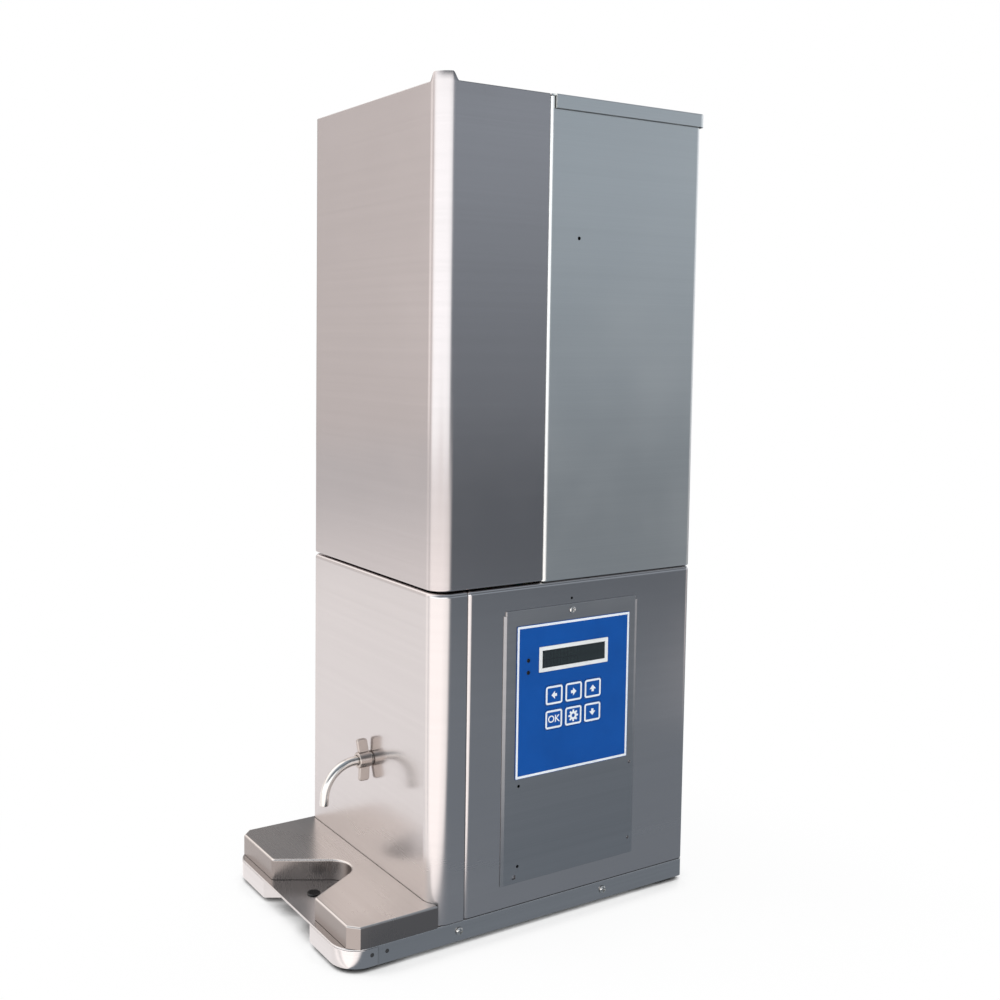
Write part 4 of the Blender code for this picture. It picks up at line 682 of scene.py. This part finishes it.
def lower_panel():
    """The front panel: a U in plan, its top bent over; the inset runs to the panel's full depth."""
    low, back = SHEET_TOP + GAP, SPLIT - GAP / 2
    depth = back - FRONT
    section = [(0, low, 0.3 * MM), (SHEET, low, 0.3 * MM), (SHEET, SEAM - SHEET, TOP_BEND_R - SHEET),
               (depth, SEAM - SHEET, 0), (depth, SEAM, 0), (0, SEAM, TOP_BEND_R)]
    made = folded_sheet("front_panel_sheet", front_plan(back), section, False, 14)
    cuts = [drill(5.3 * MM, (LINE_X, FRONT, SPOUT_AXIS), FORWARD, 64)]
    cuts += [drill(2.3 * MM, (side * REST_X, REST_Y, SEAM)) for side in (-1, 1)]
    dressed(combined(made, cuts), STEEL_LOWER, "body", "lower_front_panel")


def casing():
    """The lower sides and back: a closed plan with flanges at top and bottom, then its openings."""
    low = SHEET_TOP + GAP
    plan = oblong(-SIDE, SIDE, SPLIT + GAP / 2, BACK, EDGE_R, REAR_R)
    section = [*foot_flange(low, 1.0 * MM), (SHEET, SEAM - SHEET, TOP_BEND_R - SHEET),
               (FLANGE, SEAM - SHEET, 0), (FLANGE, SEAM, 0), (0, SEAM, TOP_BEND_R)]
    made = folded_sheet("casing_sheet", plan, section)
    wide = SIDE - FLANGE
    cuts = [opening(oblong(-wide, wide, low + FLANGE, SEAM - FLANGE), -SPLIT, FORWARD),
            opening(oblong(*side_box(WINDOW)), SIDE, RIGHT)]
    for z, radius in ((SCREW_Z, 1.9), (265.5, 1.1)):
        cuts.append(drill(radius * MM, side_place(SCREW_Y, z), RIGHT))
    cuts.append(opening(oblong(*INLET), -BACK, FORWARD))
    for k in range(VENTS):
        x = (k - (VENTS - 1) / 2) * VENT_PITCH
        slot = oblong(x - VENT_W / 2, x + VENT_W / 2, SEAM - 126 * MM, SEAM - 80 * MM, 1.4 * MM)
        cuts.append(opening(slot, -BACK, FORWARD, 5))
    dressed(combined(made, cuts), STEEL_LOWER, "body", "lower_casing")


def corner_tab():
    """The tab on the hood's right front corner: its wall carried up 6.7 mm, with round shoulders.

    s is the distance along the wall from the corner's middle: the place is the corner's arc at angle
    s / R, and past the arc's ends the straight. The height is 6.7 mm times a smooth step, 3 t t - 2 t t t,
    where t falls from 1 to 0 between 7.5 and 11.5 mm along the corner's chord. Each place carries the
    sheet's section as a small loop: out, up, over a rounded edge, in and down.
    """
    s = np.linspace(-13.5 * MM, 13.5 * MM, 121)
    angle = np.clip(s / CORNER_R, -pi / 4, pi / 4)
    past = s - angle * CORNER_R
    out = np.stack([np.cos(angle - pi / 4), np.sin(angle - pi / 4)], 1)
    along = np.stack([-out[:, 1], out[:, 0]], 1)
    centre = np.array([SIDE - CORNER_R, FRONT + CORNER_R])
    chord = np.abs(CORNER_R * np.sin(angle) + past * np.cos(angle))
    t = np.clip((11.5 * MM - chord) / (4 * MM), 0, 1)
    high = TOP - 0.1 * MM + 6.7 * MM * (3 * t ** 2 - 2 * t ** 3)
    low = TOP - 1.1 * MM
    edge = 0.35 * MM
    proud = 0.02 * MM
    turn = np.linspace(0, pi / 2, 5)
    inset = [-proud, *(edge * (1 - np.cos(turn)) - proud), *(SHEET - edge * (1 - np.sin(turn))), SHEET]
    drop = [None, *(edge * (1 - np.sin(turn))), *(edge * (1 - np.cos(turn))), None]
    rows = []
    for d, fall in zip(inset, drop):
        place = centre + out * (CORNER_R - d) + along * past[:, None]
        rows.append(np.column_stack([place, np.full(len(s), low) if fall is None else high - fall]))
    dressed(surface("hood_corner_tab", np.stack(rows), True, False, "c"), STEEL_FRONT, "hood")


def hood():
    """The hood: a U in plan with a flange at its foot and a flat top folded sharply in."""
    depth = HOOD_BACK - FRONT
    section = [*foot_flange(HOOD_LOW, 1.2 * MM), (SHEET, TOP - SHEET, 0), (depth, TOP - SHEET, 0),
               (depth, TOP, 0), (0, TOP, 0.7 * MM)]
    made = folded_sheet("hood_sheet", front_plan(HOOD_BACK), section, False, 16)
    cuts = [drill(2.4 * MM, (side * REST_X, REST_Y, HOOD_LOW)) for side in (-1, 1)]
    dressed(combined(made, cuts), STEEL_FRONT, "hood", "front_hood")


def housing():
    """The rear housing: three sides with narrow front flanges, open at its front and top."""
    front = HOOD_BACK + SLIP
    low, high = SEAM + GAP, TOP - SHEET - GAP
    x = SIDE - FLANGE
    plan = [(x, front, 0), (SIDE, front, EDGE_R), (SIDE, BACK, REAR_R), (-SIDE, BACK, REAR_R),
            (-SIDE, front, EDGE_R), (-x, front, 0)]
    section = [*foot_flange(low, 1.2 * MM), (SHEET, high, 0.2 * MM), (0, high, 0.2 * MM)]
    made = folded_sheet("housing_sheet", plan, section, False, 10)
    combined(made, [drill(1.5 * MM, side_place(133, 560), RIGHT)])
    dressed(made, STEEL_REAR, "body", "rear_housing")


def lid():
    """The lid: a flat sheet with a lip folded down round its sides and back."""
    low, front, lip = TOP - 11 * MM, HOOD_BACK + 1.0 * MM, HOOD_BACK + 5.0 * MM
    x, back, r = SIDE + 2.5 * MM, BACK + 2.5 * MM, 6.0 * MM
    profile = [(0, low, 0), (0, TOP, 0.8 * MM), (4 * MM, TOP, 0)]
    made = block("lid_sheet", oblong(-x, x, front, back, 0, r), profile)
    inner = oblong(-x + SHEET, x - SHEET, front - OVER, back - SHEET, 0, r - SHEET)
    cuts = [prism("core", inner, low - OVER, TOP - SHEET)]
    for x0, x1 in ((-x - OVER, -SIDE), (SIDE, x + OVER)):
        cuts.append(prism("corner", oblong(x0, x1, front - OVER, lip), low - OVER, TOP + OVER))
    dressed(combined(made, cuts), STEEL_REAR, "lid", "rear_lid")


lower_panel()
casing()
hood()
corner_tab()
housing()
lid()


# Base and platform

TIP_R, LIP_R = 18.0 * MM, 4.0 * MM
NOTCH_HALF = radians(30)
EYE_Y = FRONT - 52.5 * MM
NOTCH_TIP = FRONT - 19.5 * MM - TIP_R + TIP_R / sin(NOTCH_HALF)


def notch_half(y):
    """Half the notch's width at y, from its two straight sides."""
    return (NOTCH_TIP - y) * tan(NOTCH_HALF)


def weld_marks():
    """Two spot welds on the right rail: round spots, tinted by heat, each side of the strip's seam."""
    for k, y in enumerate((-147.6 * MM, -134.5 * MM), 1):
        disc = [(0, 0.05 * MM), (1.3 * MM, 0.05 * MM), (1.7 * MM, 0), (0, 0)]
        made = turned(f"weld_mark_{k}", disc, (SIDE, y, 13 * MM), RIGHT, 32)
        dressed(made, SPOT_WELD, "body")


def pan():
    """The base's top sheet with its rails, cut open in front for the strip."""
    plan = oblong(-SIDE, SIDE, BASE_FRONT, BACK, BASE_R, REAR_R)
    profile = [(0, FLOOR, 0), (0, SHEET_TOP, 1.0 * MM), (4 * MM, SHEET_TOP, 0)]
    made = block("base_sheet", plan, profile, 14)
    core = oblong(-SIDE + SHEET, SIDE - SHEET, BASE_FRONT + SHEET, BACK - SHEET, BASE_R - SHEET,
                  REAR_R - SHEET)
    under = SHEET_TOP - SHEET
    front = oblong(-SIDE - OVER, SIDE + OVER, BASE_FRONT - OVER, FRONT - 48 * MM)
    cuts = [prism("core", core, FLOOR - OVER, under, steps=14), prism("front", front, FLOOR - OVER, under),
            drill(4.9 * MM, (LINE_X, EYE_Y, SHEET_TOP), around=64)]
    dressed(combined(made, cuts), STEEL_BASE, "body", "base_pan")


def strip():
    """The polished strip round the base's front, folded into a V under the notch."""
    seam = FRONT - 48.3 * MM
    mouth = notch_half(BASE_FRONT)
    left = [(-SIDE, seam, 0), (-SIDE, BASE_FRONT, BASE_R), (LINE_X - mouth, BASE_FRONT, 2 * MM)]
    right = [(LINE_X + mouth, BASE_FRONT, 2 * MM), (SIDE, BASE_FRONT, BASE_R), (SIDE, seam, 0)]
    plan = [*left, (LINE_X, NOTCH_TIP, TIP_R), *right]
    thick, high = 1.5 * MM, SHEET_TOP - SHEET - GAP
    section = [(0, FLOOR, 0.3 * MM), (thick, FLOOR, 0.3 * MM), (thick, high, 0.3 * MM),
               (0, high, 0.3 * MM)]
    dressed(folded_sheet("front_strip", plan, section, False, 20, 3), STEEL_BAND, "body",
            "base_front_band")


def platform():
    """The drip platform: a notched tray turned down all round, open where it meets the body."""
    x, front, ear = SIDE + 0.7 * MM, BASE_FRONT + 6 * MM, FRONT + 5 * MM
    mouth, cut, bend = notch_half(front), 8 * MM, 0.8 * MM
    low, high, thick = SHEET_TOP + GAP, SHEET_TOP + 18 * MM, 1.5 * MM

    def plan(back):
        right = [(LINE_X + mouth, front, LIP_R), (x - cut, front, bend), (x, front + cut, bend),
                 (x, back, 0)]
        left = [(-x, back, 0), (-x, front + cut, bend), (cut - x, front, bend),
                (LINE_X - mouth, front, LIP_R)]
        return [*right, *left, (LINE_X, NOTCH_TIP, TIP_R)]

    profile = [(0, low, 0), (0, high, 1.7 * MM), (3 * MM, high, 0)]
    made = block("platform_sheet", plan(ear), profile, 16)
    inside = [(thick, low - OVER), (thick, high - thick)]
    core = surface("core", carried(plan(ear + OVER), inside, 16), caps="r")
    s, y = SIDE + SLIP, FRONT - SLIP
    body = [(-s, y, EDGE_R + SLIP), (s, y, CORNER_R + SLIP), (s, BACK, 0), (-s, BACK, 0)]
    combined(made, [core, prism("body", body, low - OVER, high + OVER, steps=16)])
    dressed(made, STEEL_TRAY, "platform", "drip_platform")


pan()
strip()
weld_marks()
platform()


# Spout

def spout():
    """The bent tube: straight out, an 85 degree bend of 28 mm, then down; its wall a thin loop.

    A wall point at radius r and angle t is the path's point plus r cos t along X and r sin t along the
    path's normal. The loop's rows are (radius, the path point's number, distance past it).
    """
    r, wall, bend, angle = 3.85 * MM, 0.8 * MM, 28 * MM, radians(85)
    turn = np.linspace(pi / 2, pi / 2 - angle, 40)
    bent = np.column_stack([-15 * MM - bend * np.cos(turn), bend * np.sin(turn) - bend])
    down = np.array([-cos(angle), -sin(angle)])
    tip = bent[-1] + down * (33 * MM + bent[-1, 1]) / sin(angle)
    path = np.concatenate([[(5 * MM, 0)], [(0, 0)], bent, [tip]]) + (FRONT, SPOUT_AXIS)
    along = np.gradient(path, axis=0)
    along /= np.linalg.norm(along, axis=1, keepdims=True)
    normal = np.stack([-along[:, 1], along[:, 0]], 1)
    end, edge = len(path) - 1, wall / 2
    loop = [(r, k, 0.0) for k in range(end)]
    for t in np.linspace(pi / 2, -pi / 2, 7):
        loop.append((r - edge + edge * sin(t), end, -edge + edge * cos(t)))
    loop += [(r - wall, k, 0.0) for k in range(end - 1, -1, -1)]
    t = np.linspace(0, tau, 40, endpoint=False)
    rows = []
    for radius, k, past in loop:
        yz = path[k] + along[k] * past + normal[k] * (radius * np.sin(t))[:, None]
        rows.append(np.column_stack([LINE_X + radius * np.cos(t), yz]))
    dressed(surface("spout_pipe", np.stack(rows), True), BRIGHT, "spout", "spout_tube")


def nut():
    """The wing nut: a turned hub with two flat paddles, waisted where they meet it."""
    near, far = 1.2 * MM, 12.2 * MM
    span, waist, r = 17.5 * MM, 4.5 * MM, 2.4 * MM
    hub_r, bore_r, sleeve_r = 6.7 * MM, 4.3 * MM, 5.3 * MM
    place = (LINE_X, FRONT, SPOUT_AXIS)
    axis = FORWARD @ Matrix.Rotation(NUT_LEAN, 4, "Z")
    hub = [(0, near, 0), (hub_r, near, 0.5 * MM), (hub_r, far, 0.9 * MM), (0, far, 0)]
    hub = ring(hub, steps=5, closed=False, ease=0.1 * MM)
    made = turned("wing_nut_part", hub, place, axis)
    side_on = Matrix(((0, 0, 1, 0), (0, 1, 0, 0), (1, 0, 0, 0), (0, 0, 0, 1)))
    upper = [(far - 1.5 * MM, waist, r), (far, span, r), (near + 1.5 * MM, span, r), (near, waist, r)]
    lower = [(x, -z, q) for x, z, q in reversed(upper)]
    half = 1.7 * MM
    profile = [(1.5 * MM, -half, 0), (0, -half, 0.8 * MM), (0, half, 0.8 * MM), (1.5 * MM, half, 0)]
    turn = Matrix.Translation(place) @ axis @ side_on
    combined(made, [block("wings", [*upper, *lower], profile, 10, 5, turn)], "UNION")
    step = far - 2 * MM
    bore = [(0, far + OVER), (bore_r, far + OVER), (bore_r, step), (sleeve_r, step),
            (sleeve_r, near - OVER), (0, near - OVER)]
    dressed(combined(made, [turned("bore", bore, place, axis)]), CAST, "nut", "wing_nut")


spout()
nut()


# Keypad

PLATE_X = SIDE + GAP
PLATE_T = 0.9 * MM
FILM_X = PLATE_X + 1.1 * MM
FILM_FACE = FILM_X + 0.5 * MM
KEY_FACE = PLATE_X + PLATE_T + 1.0 * MM
INK_T = 0.05 * MM
KEY_W, KEY_H, KEY_R = 18.5 * MM, 16.8 * MM, 3.0 * MM
KEY_ROWS = (("ok", "settings", "down"), ("left", "right", "up"))
KEYS_Y, KEYS_Z = 134.6, 176.9
PITCH_Y, PITCH_Z = 20.2 * MM, 20.3 * MM


def control_plate():
    """The service plate: its upright edges bent in, notched for relief at the top, with its holes."""
    y0, y1, z0, z1 = side_box(PLATE)
    w, h, slope = 2.2 * MM, 3.6 * MM, 2.7 * MM
    outline = [(y0, z0, 0), (y1, z0, 0), (y1, z1 - h, 0), (y1 - w, z1 - h, 0), (y1 - w, z1, 0),
               (y0 + w, z1, 0), (y0 + w, z1 - h, 0), (y0, z1 - h, 0)]
    top = PLATE_X + PLATE_T
    profile = [(0, PLATE_X, 0), (0, top, 0.6 * MM), (1.2 * MM, top, 0)]
    made = block("control_plate_sheet", outline, profile, 1, 4, RIGHT)
    holes = [(SCREW_Y, SCREW_Z, 1.9), *((y, z, 1.3) for y in (80.5, 197.4) for z in (49, 116))]
    cuts = [drill(radius * MM, side_place(y, z, PLATE_X), RIGHT) for y, z, radius in holes]
    cuts += [opening(oblong(*side_box(box)), PLATE_X, RIGHT) for box in (SQUARE_HOLE, PANE_HOLE)]
    rise, over = PLATE_X + 0.12 * MM, PLATE_X + OVER
    for y, way in ((y0, 1), (y1, -1)):
        inner, outer = y + way * slope, y - way * OVER
        wedge = [(rise, y, 0), (top, inner, 0), (over, inner, 0), (over, outer, 0), (rise, outer, 0)]
        cuts.append(prism("slope", wedge[::way], z0 - OVER, z1 + OVER, steps=1))
    dressed(combined(made, cuts, crease=12), STEEL_PLATE, "body", "control_plate")


def key_spots():
    """Each key's name and its middle on the right side."""
    for row, row_names in enumerate(KEY_ROWS):
        for column, name in enumerate(row_names):
            _, y, z = side_place(KEYS_Y, KEYS_Z)
            yield name, y + (column - 1) * PITCH_Y, z + (row - 0.5) * PITCH_Z


def key_plan(y, z, inset=0.0):
    """A key's rounded outline."""
    w, h = KEY_W / 2 - inset, KEY_H / 2 - inset
    return oblong(y - w, y + w, z - h, z + h, max(KEY_R - inset, 0.4 * MM))


def printed_ring(name, corners, inset, outset, low):
    """A printed line: a thin flat band on the outline, from one inset to another."""
    high = low + INK_T
    section = [(inset, low), (outset, low), (outset, high), (inset, high)]
    return moved(surface(name, carried(corners, section), True), RIGHT)


def legend(name, y, z, low):
    """The key's symbol as a thin print: an arrow with a short stem, a gear, or the letters OK."""
    if name == "ok":
        curve = bpy.data.curves.new("legend_ok", "FONT")
        curve.body = "OK"
        curve.size = 8.2 * MM
        curve.align_x = "CENTER"
        curve.align_y = "CENTER"
        curve.extrude = INK_T / 2
        curve.offset = 0.12 * MM
        text = placed("legend_ok", curve)
        mesh = baked(text)
        bpy.data.objects.remove(text)
        turn = RIGHT @ Matrix.Translation((y, z, low + INK_T / 2))
        return moved(placed("legend_ok", mesh), turn)
    if name == "settings":
        t = np.linspace(0, tau, 128, endpoint=False)
        outer = (4.3 + 0.75 * np.clip(np.cos(8 * t) * 2.5, -1, 1)) * MM
        hole = np.full_like(t, 1.6 * MM)
        rows = []
        for r, x in ((outer, low), (hole, low), (hole, low + INK_T), (outer, low + INK_T)):
            rows.append(np.column_stack([y + r * np.cos(t), z + r * np.sin(t), np.full_like(t, x)]))
        return moved(surface("legend_settings", np.stack(rows), True), RIGHT)
    turn = {"right": 0.0, "up": 0.5, "left": 1.0, "down": 1.5}[name] * pi
    arrow = np.array([(2.8, 0), (-0.7, 3.3), (-0.7, 1.2), (-2.8, 1.2), (-2.8, -1.2), (-0.7, -1.2),
                      (-0.7, -3.3)]) * MM
    across = arrow[:, 0] * cos(turn) - arrow[:, 1] * sin(turn) + y
    up = arrow[:, 0] * sin(turn) + arrow[:, 1] * cos(turn) + z
    rows = [np.column_stack([across, up, np.full(7, x)]) for x in (low, low + INK_T)]
    return moved(surface(f"legend_{name}", np.stack(rows), caps="r"), RIGHT)


def keypad():
    """The blue film with its openings, its printed border, and the six keys with their prints."""
    sheet = oblong(*side_box(FILM_SHEET), 1.0 * MM)
    edge = [(0, FILM_X, 0), (0, FILM_FACE, 0.15 * MM), (0.6 * MM, FILM_FACE, 0)]
    film = block("film_sheet", sheet, edge, 4, 2, RIGHT)
    cuts = [opening(key_plan(y, z, -GAP), FILM_X, RIGHT, 10) for _, y, z in key_spots()]
    cuts.append(opening(oblong(*side_box(BEZEL_HOLE)), FILM_X, RIGHT))
    cuts += [drill(1.8 * MM, side_place(LED_Y, z, FILM_X), RIGHT) for z in LED_Z]
    dressed(combined(film, cuts), FILM, "body", "keypad_film")
    dressed(printed_ring("film_border", sheet, 0.4 * MM, 2.3 * MM, FILM_FACE), INK, "body")
    for name, y, z in key_spots():
        edge = [(0, KEY_FACE - 0.6 * MM, 0), (0, KEY_FACE, 0.3 * MM), (0.9 * MM, KEY_FACE, 0)]
        key = block(f"{name}_key", key_plan(y, z), edge, 8, 3, RIGHT)
        dressed(key, FILM, f"key_{name}", f"key_{name}")
        line = printed_ring(f"{name}_outline", key_plan(y, z), 0.7 * MM, 2.3 * MM, KEY_FACE)
        dressed(line, INK, f"key_{name}")
        dressed(legend(name, y, z, KEY_FACE), INK, f"key_{name}")


def display():
    """The white bezel with rounded edges and the dark pane in it."""
    y0, y1, z0, z1 = side_box(BEZEL)
    bar, face, pane_face = 3.2 * MM, FILM_X + 0.7 * MM, FILM_X + 0.4 * MM
    section = [(0, FILM_X, 0), (bar, FILM_X, 0), (bar, face, 0.15 * MM), (0, face, 0.25 * MM)]
    rows = carried(oblong(y0, y1, z0, z1, 0.8 * MM), ring(section, steps=3, ease=0.1 * MM), 5)
    dressed(moved(surface("bezel", rows, True), RIGHT), FRAME_WHITE, "body", "display_frame")
    gap = bar + 0.2 * MM
    pane = oblong(y0 + gap, y1 - gap, z0 + gap, z1 - gap)
    edge = [(0, FILM_X, 0), (0, pane_face, 0.1 * MM), (0.5 * MM, pane_face, 0)]
    dressed(block("pane_sheet", pane, edge, 1, 2, RIGHT), PANE, "body", "display_window")


control_plate()
keypad()
display()


# Screws and small parts

def pan_head(name, place, axis, radius, height, shank=8.0 * MM):
    """A pan head with a cross recess: the height is a flattened dome less the cross.

    The dome is height times (1 - (r / R) ** 4) ** 0.5, and the cross is sunk where one of |x| and |y|
    is under the slot's half width and the other under its half length, with sloped sides.
    """
    around, out, stem_r = 96, 30, 1.6 * MM
    t = np.linspace(0, tau, around, endpoint=False)
    r = np.linspace(0, 1, out)[:, None] ** 0.8 * radius
    x, y = r * np.cos(t), r * np.sin(t)
    dome = height * np.sqrt(np.maximum(1 - (r / radius) ** 4, 0)) * np.ones_like(t)
    half, reach, soft = 0.17 * radius, 0.62 * radius, 0.05 * radius
    near = np.minimum(np.abs(x), np.abs(y))
    far = np.maximum(np.abs(x), np.abs(y))
    sunk = np.clip((half - near) / soft + 0.5, 0, 1) * np.clip((reach - far) / (2 * soft) + 0.5, 0, 1)
    rows = np.stack([x, y, dome - 0.55 * height * sunk], -1)
    rim = rows[-1] * (1, 1, 0)
    stem = rim * stem_r / radius
    foot = stem - (0, 0, shank)
    rows = np.concatenate([rows, [rim, stem, foot, foot * (0, 0, 1)]])
    return moved(surface(name, rows, crease=50), Matrix.Translation(place) @ axis)


def screws():
    """Two screws on each side of the base, and the service plate's own."""
    for end, back in (("front", 25.5), ("rear", 171.5)):
        for side, axis, x in (("right", RIGHT, SIDE + GAP), ("left", LEFT, -SIDE - GAP)):
            made = pan_head(f"{end}_{side}_screw", side_place(back, 8, x), axis, 3.3 * MM, 1.9 * MM)
            dressed(made, BRIGHT, "body", f"base_screw_{end}_{side}")
    place = side_place(SCREW_Y, SCREW_Z, PLATE_X + 1.2 * MM)
    dressed(pan_head("service_screw", place, RIGHT, 3.0 * MM, 1.0 * MM), BRIGHT, "body", "plate_screw")


screws()


# Tank, its outlet and the deck, and the small turned parts

def tank():
    """The open tank as one closed skin: skirt, outside, rim, inside, sloping floor, well and hole.

    Its rings are the rounded plan moved in by d, along a rounded (d, height) path. On the floor the
    height gains the fall times (y - front). From the last ring the skin goes to circles about the
    outlet, each point keeping its bearing: place = ring (1 - s) + circle s.
    """
    fall = 0.05
    front, foot = FRONT + 45 * MM, 283.8 * MM
    floor, rim, under = foot + 11.5 * MM, TOP - 20 * MM, foot + 8 * MM
    plan = oblong(-90 * MM, 90 * MM, front, BACK - 16 * MM, 25 * MM)
    path = ring([(10 * MM, under, 0), (3 * MM, under, 1.5 * MM), (3 * MM, foot, 0.8 * MM),
                 (0, foot, 0.8 * MM), (0, rim - 7 * MM, 0.5 * MM), (-2 * MM, rim - 7 * MM, 0.7 * MM),
                 (-2 * MM, rim - MM, 0.8 * MM), (0, rim - MM, 0.2 * MM), (0, rim, 0.6 * MM),
                 (3 * MM, rim, 0.9 * MM), (3 * MM, floor, 9 * MM), (20 * MM, floor, 0)],
                steps=6, closed=False)
    rows = carried(plan, path, 10)
    inside = int(path[:, 1].argmax()) + 8
    slope = fall * (rows[..., 1] - front)
    rows[inside:, :, 2] += slope[inside:] * (rows[inside:, :1, 2] < rim - 20 * MM)
    last, first = rows[-1, :, :2], rows[0, :, :2]
    bearing = np.arctan2(last[:, 1] - OUTLET, last[:, 0] - LINE_X)
    arm = np.column_stack([np.cos(bearing), np.sin(bearing)])

    def circle(radius):
        return (LINE_X, OUTLET) + radius * MM * arm

    rest = []
    for share in (0.3, 0.6, 0.85, 1.0):
        spot = last * (1 - share) + circle(15) * share
        rest.append((spot, floor + fall * (spot[:, 1] - front)))
    for radius, drop in ((14.2, 0.25), (14, 0.7), (14, 1.6), (13.5, 2.1), (13, 2.25), (9, 2.25),
                         (8.5, 2.4), (8.3, 2.8)):
        tilt = fall * (circle(radius)[:, 1] - OUTLET) if drop < 1 else 0
        rest.append((circle(radius), floor + 0.65 * MM - drop * MM + tilt))
    rest += [(circle(8.3), under + 0.5 * MM), (circle(8.8), under), (circle(12), under),
             (first * 0.5 + circle(12) * 0.5, under)]
    rest = [np.column_stack([spot, np.broadcast_to(level, len(spot))]) for spot, level in rest]
    made = surface("tank_shell", np.concatenate([rows, np.stack(rest)]), True)
    dressed(made, MILKY, "tank", "sauce_tank")


def turned_parts():
    """The small round pieces, as (radius, height, bend radius) profiles in mm, closed or open."""
    tail = [(4.5, -22, 0.1), (4.3, -29, 0), (4.5, -29, 0.1), (4.3, -36, 0)]
    coupling = [(18, 2.5, 0.5), (18, 0.3, 0.2), (12.5, 0.3, 0), (12.5, -22, 0.8), *tail, (3.2, -36, 0),
                (3.2, -20, 0.3), (8.3, -20, 0.5), (8.3, 2.5, 0.6)]
    outlet = [(13, 2, 0.5), (13, 0, 0.3), (8, 0, 0.5), (8, -25.5, 1.0), (4.6, -25.5, 0.4), (4.6, 2, 0.6)]
    thread = [(5 - 0.45 * (k % 2), 7.1 - 0.6 * k, 0) for k in range(14)]
    sleeve = [(4.3, 7.4, 0.1), *thread, (5, -1.5, 0), (11, -1.5, 0.3), (11, -4.1, 0.3), (4.5, -4.1, 0.1),
              (4.3, -18.1, 0.1), (3.2, -18.1, 0), (3.2, -5.3, 0), (4.3, -5.3, 0)]
    rest = [(0, 9.2, 0), (2, 9.2, 0.7), (2, 1.2, 0.1), (5, 1.2, 0.3), (5, 0.3, 0.3), (2, 0.3, 0.1),
            (2, -5, 0.5), (0, -5, 0)]
    eye = [(0, 2.4, 0), (5.6, 2.4, 0.5), (5.6, 1.5, 0), (4.6, 1.5, 0), (4.6, -6, 0.3), (0, -6, 0)]
    led = [(0, 0.6, 0), (1.6, 0.6, 0.4), (1.6, 0, 0), (0, 0, 0)]
    foot = [(0, 18.1, 0), (12, 18.1, 0.6), (10, 0, 1.6), (0, 0, 0)]

    def part(name, node, body, look, place, points, hollow=False, axis=UPRIGHT):
        path = ring(np.array(points) * MM, steps=5, closed=hollow, ease=0.1 * MM)
        dressed(turned(name, path, place, axis, 64, hollow), look, body, node)

    part("deck_socket", "deck_coupling", "body", BLACK, (LINE_X, OUTLET, 283.5 * MM), coupling, True)
    part("tank_spigot", "tank_outlet", "tank", BRIGHT, (LINE_X, OUTLET, 294 * MM), outlet, True)
    part("threaded_sleeve", "spout_sleeve", "body", BRIGHT, (LINE_X, FRONT, SPOUT_AXIS), sleeve, True,
         FORWARD)
    part("sensor_lens", "sensor_window", "body", LENS, (LINE_X, EYE_Y, SHEET_TOP - SHEET), eye)
    for k, z in enumerate(LED_Z, 1):
        place = side_place(LED_Y, z, FILM_X - 0.05 * MM)
        part(f"led_lens_{k}", f"status_led_{k}", "body", LENS, place, led, axis=RIGHT)
    for side, sign in (("left", -1), ("right", 1)):
        place = (sign * REST_X, REST_Y, SEAM)
        part(f"rest_pin_{side}", f"hood_rest_{side}", "body", RUBBER, place, rest)
        for end, y in (("front", BASE_FRONT + 24 * MM), ("rear", BACK - 24 * MM)):
            place = (sign * (SIDE - 24 * MM), y, 0)
            part(f"rubber_foot_{end}_{side}", f"foot_{end}_{side}", "body", RUBBER, place, foot)


tank()
turned_parts()
for name, node, body, look, width in (("deck_shelf", "deck", "body", STEEL_BASE, 0.3),
                                      ("inlet_housing", "power_inlet", "body", BLACK, 0.5),
                                      ("rocker", "power_switch", "switch", BLACK, 0.6)):
    dressed(eased(name, node, width * MM), look, body, node)

LOOKS = {
    ZINC: ["pump_bracket", "gearbox", "gear_motor", "power_supply"],
    BRIGHT: ["pump_rotor", "motor_shaft"],
    BLACK: ["pump_housing"],
    RUBBER: ["spout_seal"],
    FRAME_WHITE: ["pump_roller_1", "pump_roller_2", "pump_roller_3"],
    PANE: ["display_module"],
    CLEAR: ["pump_cover"],
    SILICONE: ["pump_hose"],
    BOARD: ["control_board"],
}
for look, names in LOOKS.items():
    for name in names:
        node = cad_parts[name]
        node.data.materials.clear()
        node.data.materials.append(look)

scene.view_settings.view_transform = "Standard"
